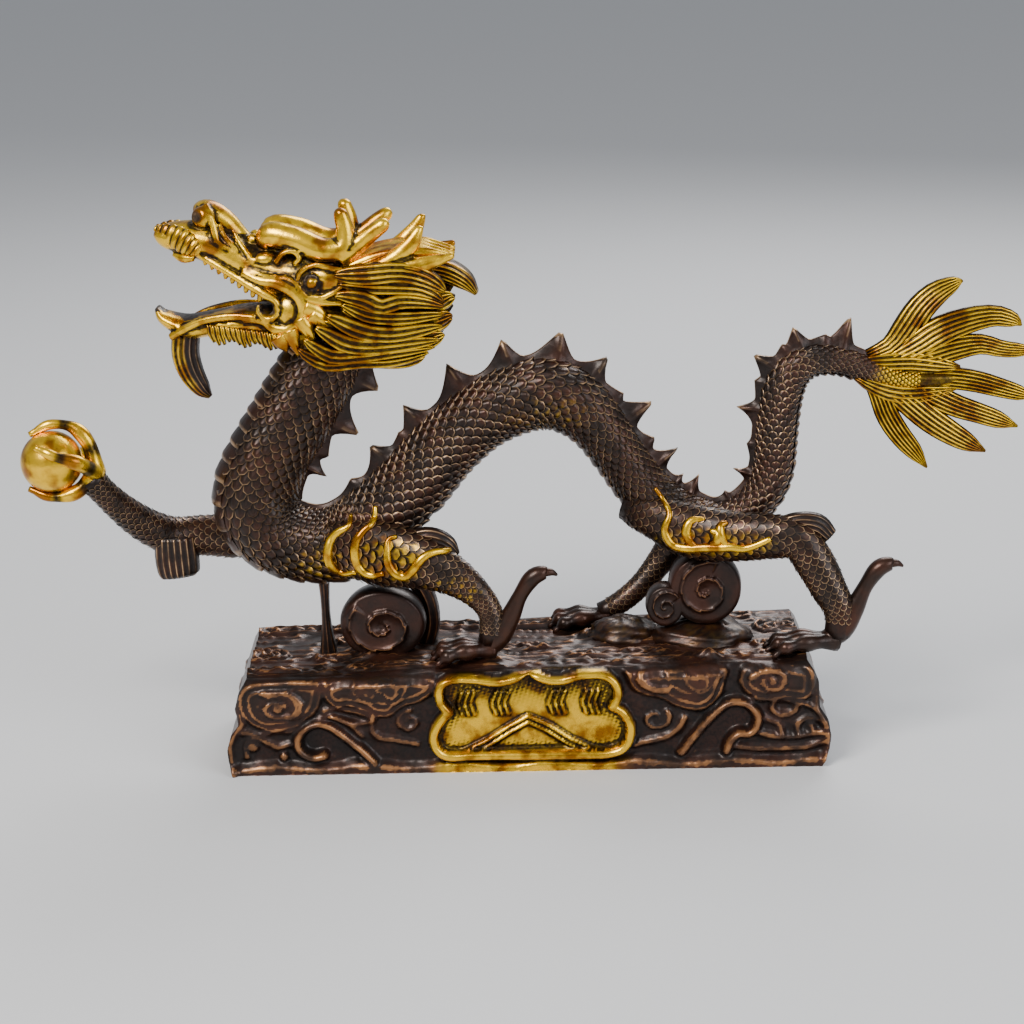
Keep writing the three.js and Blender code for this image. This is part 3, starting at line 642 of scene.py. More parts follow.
# Folds and lips that lie on the near side of the head: [x, y, z, half width, half height]
LIP = [
    [-103.5, -6, 169.6, 1.1, 1.1], [-96.5, -8.4, 165.6, 1.2, 1.3], [-91.4, -9.8, 162.6, 1.2, 1.3],
    [-86.3, -11.4, 159.6, 1.3, 1.4], [-81.5, -13, 157, 1.4, 1.5], [-77.6, -13.8, 154.2, 1.4, 1.5],
    [-77.4, -13.8, 150.6, 1.4, 1.4], [-80, -13.4, 148.8, 1.3, 1.3], [-82.8, -13, 151, 1.1, 1.2],
    [-82.4, -13, 153.6, 0.9, 1],
]
GUM = [
    [-84.4, -12.6, 149, 1.2, 1.3], [-91.9, -11.2, 149.4, 1.2, 1.3], [-101, -9.2, 147.8, 1.2, 1.3],
    [-107.2, -7.6, 145, 1.2, 1.3], [-112.4, -5.6, 141.8, 1.3, 1.4],
]
CHEEK = [
    [-88, -10.6, 163.4, 1, 1.1], [-82.3, -12.8, 161, 1.4, 1.5], [-76.5, -13.8, 160.2, 1.8, 2],
    [-70.8, -14.2, 157, 2, 2.2], [-68.6, -14.4, 152.8, 2, 2.3], [-69.6, -14.2, 148.6, 2, 2.2],
    [-73.6, -13.8, 145.4, 1.8, 2], [-78, -13.4, 145.6, 1.6, 1.8], [-82, -12.6, 148.2, 1.3, 1.5],
    [-88, -11.4, 148.2, 1, 1.1],
]
UNDER_EYE = [
    [-96.5, -7, 171.4, 0.8, 0.9], [-91.3, -8.4, 168.9, 0.9, 1], [-87.7, -9.8, 165.4, 1, 1],
    [-84.1, -11.4, 163.2, 1, 1.1], [-79.6, -12.8, 162, 1, 1.1], [-73.6, -13.8, 161.6, 1, 1.1],
    [-70, -14.6, 159, 1.1, 1.2], [-67.2, -14.9, 155.4, 1.1, 1.2], [-62, -15, 154, 1.1, 1.2],
    [-56, -15, 153.4, 0.6, 0.7],
]
NOSTRIL_FOLD = [
    [-99.3, -4.2, 184.4, 0.9, 0.9], [-97.5, -6.4, 180.4, 1.1, 1.1], [-96.4, -7.6, 176, 1, 1.1],
    [-95.6, -8.2, 173, 0.9, 1], [-92.3, -8.8, 170.6, 0.8, 0.9], [-88.3, -9.6, 168, 0.7, 0.8],
]
LIDS = [
    [-70.4, -13.8, 160.2, 0.7, 0.7], [-69, -14.6, 163.8, 0.9, 0.8], [-64.6, -15, 166, 1, 0.9],
    [-59, -15.2, 165, 0.9, 0.8], [-52.8, -15, 163.2, 0.7, 0.6], [-56.6, -15.2, 158.6, 0.9, 0.8],
    [-62.2, -15.2, 155.8, 0.9, 0.8], [-67.8, -14.8, 156.4, 0.9, 0.8], [-70.4, -14, 160, 0.7, 0.7],
]
FRONT_FOLD = [
    [-94.9, -6.6, 178.5, 0.5, 0.6], [-93.1, -7.6, 174.1, 0.9, 0.9], [-89.8, -8.6, 170.4, 0.9, 0.9],
    [-87.6, -9.6, 167, 0.5, 0.6],
]
REAR_FOLD = [
    [-90.9, -6.6, 176.8, 0.5, 0.6], [-88.7, -7.8, 172.7, 0.9, 0.9], [-86.1, -9.4, 169, 0.9, 0.9],
    [-84, -10.8, 166.6, 0.5, 0.6],
]
# The lines on the head, with the number of rings in each
HEAD_LINES = [
    (FRONT_FOLD, 16), (REAR_FOLD, 16), (LIP, 40), (GUM, 24), (CHEEK, 40), (UNDER_EYE, 40),
    (NOSTRIL_FOLD, 24), (LIDS, 36),
]


def head_lines():
    return [piece for stations, rings in HEAD_LINES for piece in both(tube(stations, 10, rings))]


def snout_leaves():
    """The ribbed leaf on each side of the snout."""
    return both(tube(SNOUT_LEAF, 14, 73, gold=1, knuckles=9, knuckle=0.16))


def brow_curls():
    curls = [
        [(-77, 166.4), (-74.6, 169.6), (-71.2, 170), (-69.4, 167.8), (-71.2, 166.2)],
        [(-69.6, 170), (-66.4, 171.8), (-62.8, 170.8), (-62.2, 168.2), (-64.4, 167.6)],
        [(-61, 167.4), (-58.6, 169), (-55.6, 168)],
    ]
    shells = []
    for line in curls:
        stations = [[x, -12.4, z, 1.3, 0.9] for x, z in line]
        shells += both(tube(stations, 10, 20))
    return shells


def teeth():
    """Short teeth along the underside of the upper lip."""
    shells = []
    for i in range(9):
        x, z, y = -99.6 + 2.15 * i, 166.6 - 1.42 * i, 7.0 + 0.62 * i
        tooth = [
            [x, -y, z + 1, 0.8, 0.9],
            [x - 0.3, -y, z - 0.6, 0.7, 0.8],
            [x - 0.6, -y, z - 1.3, 0.25, 0.25],
        ]
        shells += both(tube(tooth, 8, 8, gold=0.6))
    return shells


def eyeballs():
    return both(ball((-65.4, -13.4, 160.3), 3.6))


def antlers():
    y = -10.2
    stem = [
        [-80, -5.5, 170.5, 3, 2.6], [-79, -7.5, 174.6, 4.2, 4.2], [-71, -9, 173.4, 4.6, 4.2],
        [-62.5, y, 169.8, 4.4, 4.2], [-56, y, 170.6, 4, 4], [-54.8, y, 176, 3, 3],
        [-55.8, y, 180.4, 2.4, 2.5], [-56.2, y, 182.2, 2.1, 2.1], [-56.3, y, 183.3, 1, 1],
    ]
    fork = [
        [-57, y, 167.5, 3.8, 4], [-51, y, 171.6, 3.1, 3.1], [-46, y * 1.05, 175.6, 2.7, 2.7],
        [-42.6, y * 1.1, 178, 2.3, 2.3], [-41, y * 1.1, 179, 1.1, 1.1],
    ]
    groove = [
        [-76, y * 0.95, 177.4, 0.6, 0.6], [-70, y, 176.6, 0.8, 0.8],
        [-63, y * 1.05, 172.8, 0.8, 0.8], [-58, y, 173, 0.6, 0.6],
    ]
    return both(joined([tube(stem, 18, 44), tube(fork, 16, 26), tube(groove, 8, 14)]))


def ears():
    upright = [
        [-49, -12, 163.6, 2.6, 2.6], [-40.5, -12.6, 166.8, 2.8, 2.8], [-34.5, -12.8, 171.4, 2.4, 2.9],
        [-31.4, -12.4, 176.4, 1.5, 1.6], [-31, -12.4, 177.6, 0.6, 0.7],
    ]
    leaf = [
        [-52, -13, 162.6, 2.4, 2.6], [-42, -13.6, 163.8, 2.6, 3.2],
        [-31, -13.4, 165.2, 2.4, 2.8], [-20.6, -12.6, 168, 0.8, 1],
    ]
    return both(joined([tube(upright, 14, 22), tube(leaf, 14, 22)]))


def cheek_flames():
    flames = [
        [(-68, 152.6), (-64, 151), (-60.2, 146.4)], [(-70, 149), (-67.4, 145), (-65.6, 140.2)],
        [(-73.5, 145.4), (-72, 141.4), (-70.8, 136.8)], [(-77, 143.4), (-75.4, 140.6), (-74.4, 138.2)],
        [(-66, 150.4), (-62.8, 147.6), (-61.8, 143.2)],
    ]
    shells = []
    for line in flames:
        stations = [[x, -14.6, z, w, w * 1.25] for (x, z), w in zip(line, (2.4, 1.8, 0.25))]
        shells += both(tube(stations, 10, 12, gold=1))
    return shells


def jaw_bristles():
    """Short bristles along the lower edge of the jaw."""
    shells = []
    for i in range(15):
        t = i / 14
        x, top = -99.5 + 23.5 * t, 146.4 - 2.8 * t
        low = 140.6 - 1.6 * t + 0.9 * math.sin(5 * i)
        y = 8.4 + 4.6 * t
        bristle = [
            [x, -y, top, 1.2, 1.0],
            [x + 0.5, -y - 0.6, (top + low) / 2, 1.3, 1.15],
            [x + 1.4, -y + 0.4, low, 0.8, 0.6],
        ]
        shells += both(lock(bristle, -1, 2, depth=0.5, rings=8))
    return shells


BEARD = [
    [-108, 0, 142.5, 5, 4.6], [-108.6, 0, 135.5, 4.8, 4.6], [-107, 0, 129, 4.2, 4.2],
    [-103.8, 0, 123.6, 3.4, 3], [-101.2, 0, 120.8, 1, 0.9],
]


def beard():
    """The beard that hangs from the chin: gold in front, dark behind."""
    shells = two_faced(BEARD, 5, depth=0.6)
    middle = np.array(BEARD)[::-1]
    for shell in shells:
        centre = np.interp(shell.points[:, 2], middle[:, 2], middle[:, 0])
        shell.gold = np.clip(0.5 + (centre - shell.points[:, 0]) / 1.2, 0, 1)
        shell.shade_and_dark_tone = np.maximum(shell.shade_and_dark_tone, 0.5 * (1 - shell.gold))
    return shells


# Locks of the mane on the near side: root to tip (x, z), then half height, thickness, how far they stand
# out and how many strands they have
MANE = [
    ([(-58, 163), (-50, 162.6), (-38, 163.4), (-29.5, 161), (-23.6, 156.8)], 3.4, 3.4, 14.2, 4),
    ([(-57, 160), (-48, 159), (-40, 158.6), (-31, 157.4), (-24.2, 153.2)], 2.8, 3.0, 13.6, 3),
    ([(-58, 156.6), (-50.4, 155.6), (-43.9, 152.6), (-36, 154), (-24, 151.8)], 2.8, 3.4, 15.0, 3),
    ([(-56, 153.4), (-47.7, 149.6), (-37, 148.6), (-23.8, 149.2)], 2.4, 3.2, 14.6, 3),
    ([(-60.8, 150), (-51.4, 145.4), (-40.6, 143.4), (-24.6, 145.6)], 3.0, 3.6, 15.4, 3),
    ([(-64.5, 146.4), (-55.2, 141), (-44.3, 139.8), (-25.8, 141.2)], 3.0, 3.6, 15.8, 3),
    ([(-68.3, 142.6), (-61.5, 137.4), (-51.7, 137), (-40.7, 137.9), (-27.4, 138.8)], 2.6, 3.4, 15.6, 3),
    ([(-70.4, 139.2), (-63.4, 134.4), (-51.8, 134.9), (-40, 134.8), (-29.4, 136.8)], 2.5, 3.0, 14.6, 3),
    ([(-62, 148), (-54, 143.4), (-44, 141.6), (-30, 143.2)], 2.2, 2.6, 14.0, 2),
    ([(-56, 151.5), (-46, 146.6), (-36, 145.6), (-26, 147.2)], 2.0, 2.6, 13.6, 2),
]
# Inner and central locks of the mane, in the same form
UNDER_MANE = [
    ([(-52, 158), (-40, 155.4), (-30, 153), (-21.5, 154.6)], 3.4, 3, 9.5, 4),
    ([(-50, 150), (-40, 147.4), (-30, 146.6), (-21.8, 148)], 3.4, 3, 9.5, 4),
    ([(-52, 143), (-42, 140), (-32, 139.4), (-24.4, 141.6)], 3.4, 3, 9.5, 4),
    ([(-56, 138), (-46, 134.8), (-38, 134), (-31, 134.4)], 3.2, 3, 9, 4),
    ([(-48, 154), (-38, 151.6), (-29, 150.4), (-21, 152.4)], 3.6, 3.4, 3.6, 3),
    ([(-46, 146), (-38, 143.8), (-30, 143.6), (-22, 145.6)], 3.6, 3.4, 3.6, 3),
]


def mane():
    shells = []
    for line, half, thick, y, strands in MANE + UNDER_MANE:
        last = len(line) - 1
        stations = []
        for t in (0, 0.1, 0.3, 0.5, 0.7, 0.86, 0.95, 1):
            x, z = catmull(line, np.array([t * last]))[0]
            flare = y + 1.6 * math.sin(math.pi * t) - 2.2 * t
            body = np.interp(t, (0, 0.1, 0.3, 0.7, 0.86, 0.95, 1), (0.3, 0.8, 1.12, 1.0, 0.8, 0.5, 0.12))
            stations.append([x, -flare, z, thick * (1 - 0.6 * t**2), half * body])
        shells += both(lock(stations, -1, strands, depth=1.15, rings=19))
    return shells


# The dark tuft at the nape, and the form under the locks of the mane
NAPE_TUFT = [
    [-32, 0, 162.4, 8, 3.2], [-24, 0, 161.4, 8.6, 3.8], [-17.6, 0, 158, 7.6, 3.2],
    [-13.8, 0, 153.8, 4.6, 1],
]
MANE_CORE = [
    [-66, 0, 150, 11, 9], [-58, 0, 150, 13, 13], [-46, 0, 150.5, 13.4, 12.6],
    [-35, 0, 149.8, 12, 10.6], [-29, 0, 149.4, 9, 7.6],
]


def crown_hair():
    """The strands on top between the antlers, the tuft behind them and the form under the mane."""
    shells = []
    for i in range(11):
        y = -10.5 + 2.1 * i
        reach = -20.5 - 3 * (i % 3)
        strand = [
            [-56, y, 163, 1.5, 2.4],
            [-44, y, 167.4, 1.4, 2.2],
            [-31, y * 0.95, 168.6, 1.3, 2],
            [reach, y * 0.85, 167, 0.4, 0.6],
        ]
        shells.append(tube(strand, 10, 18, gold=1))
    shells += two_faced(NAPE_TUFT, 6, depth=1.2, gold=0.85)
    shells.append(tube(MANE_CORE, 24, 24))
    return shells


# ---- tail ----
# Fingers of the tail fan: side step, then root to tip (x, z, half height)
TAIL_FINGERS = [
    (1.2, [(113, 130.2, 2.6), (120.8, 133.4, 4), (126.2, 140.5, 4.8), (130, 146.1, 4.6),
     (135, 150.8, 4), (140.6, 153.8, 2.4), (143.2, 154.6, 1)]),
    (-0.8, [(118.6, 128.5, 3), (128, 133.2, 4.6), (135.8, 138.2, 5), (144.4, 141.6, 4.4),
     (153.1, 143.2, 3.6), (159.5, 141.8, 2.6), (162.4, 140, 1)]),
    (1, [(121.8, 127.7, 3), (132.9, 130.3, 4.4), (141.5, 132.7, 4.2), (149.5, 133.7, 3.4),
     (156.5, 132, 2.8), (163, 131.4, 2.2), (166.4, 131.6, 0.9)]),
    (-1, [(132, 123, 3), (140, 122.8, 3.6), (148, 121.6, 3.6),
     (156, 119.4, 3.2), (163, 117.4, 2.4), (166.6, 116.8, 0.9)]),
    (0.8, [(127, 120.6, 3), (134.6, 117, 4), (142, 113.4, 3.8),
     (149.4, 110.8, 3.4), (156.6, 108.2, 2.8), (162.6, 106, 1.2)]),
    (-0.8, [(119, 121, 3), (125.3, 116, 4.2), (133, 109.6, 4.4),
     (140, 104.8, 4), (146.5, 101, 3), (152, 98.2, 1.3)]),
    (1, [(113.5, 123.5, 2.4), (116.8, 117.9, 3.4), (119.8, 110.6, 3.8),
     (124, 104, 3.6), (129, 98, 2.8), (133.2, 92.6, 1.3)]),
]
# Strands between the end of the body and the fingers: root to tip (x, z, half height, thickness)
TAIL_WEBS = [
    [
        (109, 128.6, 1.4, 2.6), (118, 128.2, 3.6, 3.4), (127, 128.2, 4, 3.1), (136, 127, 3.4, 2.4),
        (143, 126.4, 0.6, 1.4),
    ],
    [
        (109, 124, 1.4, 2.6), (116, 120.6, 3.4, 3.4), (124, 118.4, 4.2, 3.1), (133, 118.6, 3.6, 2.5),
        (142, 119.4, 0.6, 1.4),
    ],
]


def tail_fan():
    shells = []
    for step, line in TAIL_FINGERS:
        last = len(line) - 1
        stations = []
        for i, (x, z, half) in enumerate(line):
            stations.append([x, step * i / last, z, 0.5 + 0.46 * half, half])
        stations[-1][4] *= 0.35
        shells += two_faced(stations, 6, depth=1.0, rings=15)
    for line in TAIL_WEBS:
        stations = [[x, 0, z, thick, half] for x, z, half, thick in line]
        shells += two_faced(stations, 5, depth=1.0, rings=9)
    return shells


# ---- raised gold flames at the shoulder and the hip ----
FLAME_SIZE = 1.7
SHOULDER_FLAMES = [
    [
        (-56, 82.8), (-57, 79.6), (-60.4, 77.6), (-63.2, 74), (-63.9, 69), (-62.2, 65.2), (-59, 63.5),
        (-54.8, 65),
    ],
    [
        (-48, 85.9), (-48.6, 81.6), (-52, 78.6), (-54.4, 75), (-54.8, 70.4), (-53.2, 66.2),
        (-49.8, 64.4), (-45.4, 65.6),
    ],
    [
        (-41, 77.8), (-43.8, 76.6), (-44.2, 72.6), (-43.8, 69), (-41.8, 65.8), (-38.4, 65),
        (-35.4, 68), (-32.8, 71.2), (-29, 72.8), (-24, 72.6),
    ],
]
HIP_FLAMES = [
    [(43.2, 89.6), (45.8, 85.8), (47.5, 82.3), (46.1, 78.2), (46.6, 74.8), (49.1, 72), (53.7, 71.6),
     (58.4, 72.2), (63.6, 72.4), (66.9, 72.7), (70.9, 72.3), (74.9, 73.6), (79.5, 75.9)],
    [(58.7, 81.4), (54.4, 80.7), (52.7, 77.4), (53.7, 74.3), (56.1, 71.9)],
    [(60.3, 78), (62.8, 77.1), (62.4, 74.5), (60.3, 73.3)],
    [(66.1, 80.5), (63.7, 79.4), (63.8, 76.2), (65.5, 72.9)],
]


def front_of(paths, x, z):
    """Y of the front skin of the paths at (x, z), seen from the front."""
    found = 0.0
    for path in paths:
        centre, tangent, _, out, width, height = path.frame(path.fine)
        away = np.stack([x - centre[:, 0], 0 * path.fine, z - centre[:, 2]], axis=-1)
        nearest = np.argmin(np.abs((away * tangent).sum(axis=1)) + 0.3 * np.abs((away * out).sum(axis=1)))
        rise = float((away[nearest] * out[nearest]).sum() / height[nearest, 0])
        if abs(rise) < 1:
            found = min(found, float(centre[nearest, 1] - width[nearest, 0] * math.sqrt(1 - rise * rise)))
    return found


def flames():
    """Raised scrolls that lie on the skin of the shoulder and the hip."""
    shells = []
    for lines, leg in ((SHOULDER_FLAMES, NEAR_FORELEG), (HIP_FLAMES, NEAR_HIND_LEG)):
        paths = (spine, Path(leg))
        for line in lines:
            way = catmull(line, np.linspace(0, len(line) - 1, 3 * len(line)))
            last = len(way) - 1
            stations = []
            for i, (x, z) in enumerate(way):
                size = FLAME_SIZE * (0.3 + 0.7 * math.sin(math.pi * (0.04 + 0.84 * i / last)))
                stations.append([x, front_of(paths, x, z) - 0.1, z, size, size])
            shells.append(tube(stations, 8, 2 * last, gold=1.0))
    return shells


# ---- fused head ----
def evaluated(obj):
    """Points, normals, edges and faces of an object with its modifiers."""
    mesh = obj.evaluated_get(bpy.context.evaluated_depsgraph_get()).to_mesh()
    points = np.empty(len(mesh.vertices) * 3)
    mesh.vertices.foreach_get("co", points)
    normals = np.empty(len(mesh.vertices) * 3)
    mesh.vertices.foreach_get("normal", normals)
    edges = np.empty(len(mesh.edges) * 2, dtype=np.int64)
    mesh.edges.foreach_get("vertices", edges)
    faces = [tuple(face.vertices) for face in mesh.polygons]
    return points.reshape(-1, 3), normals.reshape(-1, 3), edges.reshape(-1, 2), faces


def fuse(shell, voxel=0.45, smooth=3, kept=0.24):
    """One skin round overlapping forms, softened as a casting is, with the share kept of its faces."""
    mesh = bpy.data.meshes.new("fused")
    mesh.from_pydata(shell.points.tolist(), [], shell.faces)
    obj = bpy.data.objects.new("fused", mesh)
    bpy.context.scene.collection.objects.link(obj)
    remesh = obj.modifiers.new("skin", "REMESH")
    remesh.mode = "VOXEL"
    remesh.voxel_size = voxel
    soft = obj.modifiers.new("soft", "SMOOTH")
    soft.factor = 0.5
    soft.iterations = smooth
    fine, normals, edges, _ = evaluated(obj)
    bump = curvature(fine, normals, edges, rounds=9)
    fewer = obj.modifiers.new("fewer", "DECIMATE")
    fewer.ratio = kept
    points, _, _, faces = evaluated(obj)
    bpy.data.objects.remove(obj)
    bpy.data.meshes.remove(mesh)
    tree = KDTree(len(fine))
    for number, point in enumerate(fine):
        tree.insert(point, number)
    tree.balance()
    bump = bump[[tree.find(point)[1] for point in points]]
    # Painted shade in the folds of the head, from its curvature
    return Shell(points, faces, np.clip(0.72 + 0.9 * bump, 0, 1), np.clip(-3.6 * bump - 0.12, 0, 1), 1)


def curvature(points, normals, edges, rounds):
    """How far each vertex stands proud of its neighbours: positive on ridges, negative in folds."""
    degree = np.bincount(edges.ravel(), minlength=len(points))[:, None]
    smoothed = points.copy()
    for _ in range(rounds):
        total = np.zeros_like(points)
        for axis in range(3):
            total[:, axis] = np.bincount(edges[:, 0], smoothed[edges[:, 1], axis], len(points))
            total[:, axis] += np.bincount(edges[:, 1], smoothed[edges[:, 0], axis], len(points))
        smoothed = total / np.maximum(degree, 1)
    return ((points - smoothed) * normals).sum(axis=1) / 0.12


# Places on the head darkened with painted shade, on both sides: [x, z, radius, how far they are sunk, how
# far out they start]
SHADED_SPOTS = [(-102.4, 180.6, 1.5, 1.6, 3), (-79.9, 152.2, 2.1, 2.0, 8), (-55.2, 156.4, 1.0, 0.6, 12)]
EYE = (-65.6, 160.4, 1.5, 2.9)  # x, z and the radii of the dark ring round the pupil
MOUTH_TOP = [(-112, 170), (-101.9, 167.4), (-91.4, 161), (-81.8, 155.4), (-79, 154)]
MOUTH_FLOOR = [(-114, 150), (-107.2, 147), (-101, 148.6), (-91.9, 150.6), (-84.4, 150.4), (-79, 150.6)]

MOUTH_BACK = -78
SNOUT_FROM, SNOUT_UNDER = -101, 158  # ahead of this x the mouth lies below this z


def paint_head_shade_and_eye_rings(head):
    """Nostrils, mouth corners and the inside of the mouth are darkened with painted shade; the eye rings
    are dark.
    """
    x, y, z = head.points.T
    dark = np.zeros(len(x))
    for spot_x, spot_z, radius, sunk, outside in SHADED_SPOTS:
        near = np.clip(1.5 - np.hypot(x - spot_x, z - spot_z) / radius, 0, 1) * (np.abs(y) > outside)
        head.points[:, 1] -= np.sign(y) * sunk * near
        dark = np.maximum(dark, near)
    eye_x, eye_z, pupil, rim = EYE
    away = np.hypot(x - eye_x, z - eye_z)
    ring = (away > pupil) & (away < rim) & (np.abs(y) > 13)
    head.points[:, 1] -= np.sign(y) * 1.1 * ring
    dark = np.maximum(dark, ring)
    head.gold = head.gold * (1 - 0.8 * dark)
    roof = np.interp(x, *zip(*MOUTH_TOP))
    floor = np.interp(x, *zip(*MOUTH_FLOOR))
    between_lips = (z < roof) & (z > floor) & (x < MOUTH_BACK) & ((x > SNOUT_FROM) | (z < SNOUT_UNDER))
    in_mouth = between_lips & (np.abs(y) < 0.21 * (x + 112) + 7.5)
    # Painted shade inside the mouth, with the sunk spots and the eye rings
    dark = np.maximum(dark, in_mouth)
    head.shade_and_dark_tone = np.maximum(np.clip(1.5 * head.shade_and_dark_tone, 0, 1), dark)
    head.gold = head.gold * (1 - 0.9 * in_mouth)
    return head


# ---- gold on the body, by place ----
def patch(points, x, z, reach_x, reach_z):
    """A soft-edged patch round (x, z) on the front, 1 in the middle."""
    away = ((points[:, 0] - x) / reach_x) ** 2 + ((points[:, 2] - z) / reach_z) ** 2
    mask = np.clip(1.6 - 1.6 * away, 0, 1)
    return mask * np.clip(-points[:, 1] / 4 - 0.5, 0, 1)


# Gold on the body: x, z, reach along X and Z, and the share of it that is plain and in dabs
GILT_PATCHES = [
    ((-44, 70, 15, 9), 0.25, 0.6),
    ((-64, 66, 17, 8), 0, 0.6),
    ((-24, 59, 12, 7), 0, 0.5),
    ((62, 73.5, 22, 6), 0.2, 0.6),
    ((8, 116, 22, 8), 0, 0.35),
]
GILT_TAIL = (112, 100)  # the tail is gold beyond this x and above this z
GILT_FADE = 10


def gild_body(shell):
    """Dabs of gold between the scrolls of the shoulder and the hip, and gold over the end of the tail."""
    x, _, z = shell.points.T
    dabs = 0.5 + 0.5 * np.sin(1.1 * x + 0.7 * z) * np.sin(1.3 * z - 0.5 * x)
    dabs = np.clip(2.6 * dabs - 0.9, 0, 1)
    gold = np.clip((x - GILT_TAIL[0]) / GILT_FADE, 0, 1) * (z > GILT_TAIL[1])
    for place, plain, dabbed in GILT_PATCHES:
        gold = np.maximum(gold, patch(shell.points, *place) * (plain + dabbed * dabs))
    shell.gold = np.maximum(shell.gold, gold)
    return shell


# ---- plinth: shape ----
PLINTH_FRONT = -28.9
PLINTH_BACK = 29.4
PLINTH_EDGE = 2.2  # radius of the long top edges
# The two ends seen from the front, foot to top: [x, z]
LEFT_END = [(-96.5, 0), (-97.8, 5), (-98, 9), (-96.6, 14), (-94, 17.5), (-95, 23), (-93.5, 29), (-91, 33)]
RIGHT_END = [(96.5, 0), (99, 6), (99.4, 11), (98.4, 16.5), (95.6, 21), (95.2, 30), (93.6, 34), (91.5, 37)]


PLINTH_REACH = 94  # from the middle to either end, along the top
FRONT_RELIEF = (-2.6, 2.6)  # how far the carving may go in and out
BACK_RELIEF = (-0.5, 0.6)


def plinth_top(x):
    """The top rises a little towards the tail."""
    return 32.4 + 0.019 * (x + 93) + 0.25 * np.sin(0.13 * x)


def smooth_line(points, closed=False):
    rows = list(points) + ([points[0]] if closed else [])
    return catmull(rows, np.linspace(0, len(rows) - 1, 6 * len(rows)))


def spiral_reach(t):
    """How far out a spiral is after the share t of its turns."""
    return 1 - 0.9 * np.clip(t, 0, 1) ** 0.85


def spiral(x, z, reach_x, reach_z, turns=1.7, start=0.0, way=1):
    """A spiral line from the rim of an ellipse to its eye."""
    t = np.linspace(0, 1, int(26 * turns))
    angle = start + way * 2 * math.pi * turns * t
    reach = spiral_reach(t)
    return np.stack([x + reach_x * reach * np.cos(angle), z + reach_z * reach * np.sin(angle)], axis=1)


def distance(x, z, line):
    """Distance from each point (x, z) to a line of straight pieces."""
    nearest = np.full(np.shape(x), 1e9)
    for (x0, z0), (x1, z1) in zip(line, line[1:]):
        dx, dz = x1 - x0, z1 - z0
        length = dx * dx + dz * dz + 1e-12
        t = np.clip(((x - x0) * dx + (z - z0) * dz) / length, 0, 1)
        nearest = np.minimum(nearest, (x - x0 - t * dx) ** 2 + (z - z0 - t * dz) ** 2)
    return np.sqrt(nearest)


def inside(x, z, line):
    """Which points lie inside the closed line."""
    odd = np.zeros(np.shape(x), bool)
    for (x0, z0), (x1, z1) in zip(line, np.roll(line, -1, axis=0)):
        crosses = (z0 > z) != (z1 > z)
        odd ^= crosses & (x < (x1 - x0) * (z - z0) / (z1 - z0 + 1e-12) + x0)
    return odd


def rolled(x, z, place, turns, start, way, rise):
    """A rolled cloud: from one arm of the spiral to the next the height climbs outward, then drops."""
    centre_x, centre_z, reach_x, reach_z = place
    across, up = (x - centre_x) / reach_x, (z - centre_z) / reach_z
    reach = np.hypot(across, up)
    angle = np.arctan2(up, across)
    first = np.mod(way * (angle - start) / (2 * math.pi), 1)
    height = np.zeros(np.shape(x))
    for k in range(int(turns) + 1):
        outer = spiral_reach((first + k) / turns)
        inner = spiral_reach((first + k + 1) / turns)
        share = (reach - inner) / np.maximum(outer - inner, 1e-6)
        on_band = (share >= 0) & (share < 1) & (first + k < turns)
        height = np.where(on_band, rise * (0.15 + 0.85 * np.clip(share, 0, 1) ** 1.4), height)
    return height


def ridge(gap, half, rise):
    """A rounded ridge along a line, from the distance to it."""
    return rise * np.exp(-((gap / half) ** 2))


def swell(x, z, line, rise, reach):
    """A pillow inside a closed line, with a thin crest along its rim."""
    gap = distance(x, z, line)
    within = inside(x, z, line)
    body = rise * (1 - 0.5 * np.exp(-gap / reach)) + ridge(gap, 0.7, 0.6)
    return np.where(within, body, ridge(gap, 0.7, 0.5 * rise))


# ---- plinth: carving on the front ----
CLOUD_LEFT = [
    (-65.5, 31.5), (-65.5, 26.5), (-62.5, 23.5), (-57.5, 23.4), (-53, 22), (-49, 19.8), (-44.5, 19.8),
    (-40, 23), (-35, 24.6), (-30.8, 27.5), (-30.2, 32), (-40, 33.2), (-56, 33),
]
CLOUD_LEFT_FOLD = [
    (-56, 32.5), (-56.5, 29), (-54, 25.7), (-48, 24.4), (-42.5, 24.4), (-39.6, 27.5), (-40, 31),
]
CLOUD_RIGHT = [
    (32.6, 33.5), (35, 27.8), (39.5, 25.4), (44, 24.4), (48, 22), (53.5, 20.2), (58.5, 20.6),
    (62.3, 24), (64.2, 29), (64, 34.5), (50, 34.5),
]
CLOUD_RIGHT_FOLD = [(45, 34), (46, 30.5), (49.2, 27.4), (53.5, 26), (58, 26.8), (61.5, 29.5), (62.3, 33)]
CLOUD_RIGHT_EDGE = [(37.5, 34), (37, 31.6), (39.5, 29), (43, 27.6), (46, 28)]
ROLL_LEFT = [
    (-93, 27.5), (-92.6, 22.5), (-90, 18), (-85.5, 15.6), (-79, 16), (-73, 18), (-68.6, 22),
    (-67, 26.5), (-68, 31.6), (-80, 32), (-90, 31),
]
ROLL_RIGHT = [
    (69.5, 29.5), (71.5, 26), (77, 23.6), (84, 24.2), (91.5, 23.6), (93, 29), (91.6, 34), (80, 35.6),
    (71.5, 34.2),
]
WAVE_LEFT = [
    (-50, 3.6), (-53.5, 7.5), (-57.5, 11), (-61.5, 14.4), (-64.8, 16.6), (-68.5, 17.4), (-72, 16),
    (-74.6, 13), (-74.8, 9.4), (-72.6, 6.6), (-69.5, 5.6), (-66.5, 6.2),
]
WAVE_RIGHT = [
    (50.5, 5.4), (53.5, 9.5), (57.5, 14.5), (62, 19.4), (65.5, 22), (69.3, 22.5), (73, 21),
    (75.5, 17.5), (75, 14), (72.8, 11.6), (69, 11.4), (66.5, 9), (65.3, 5.5),
]
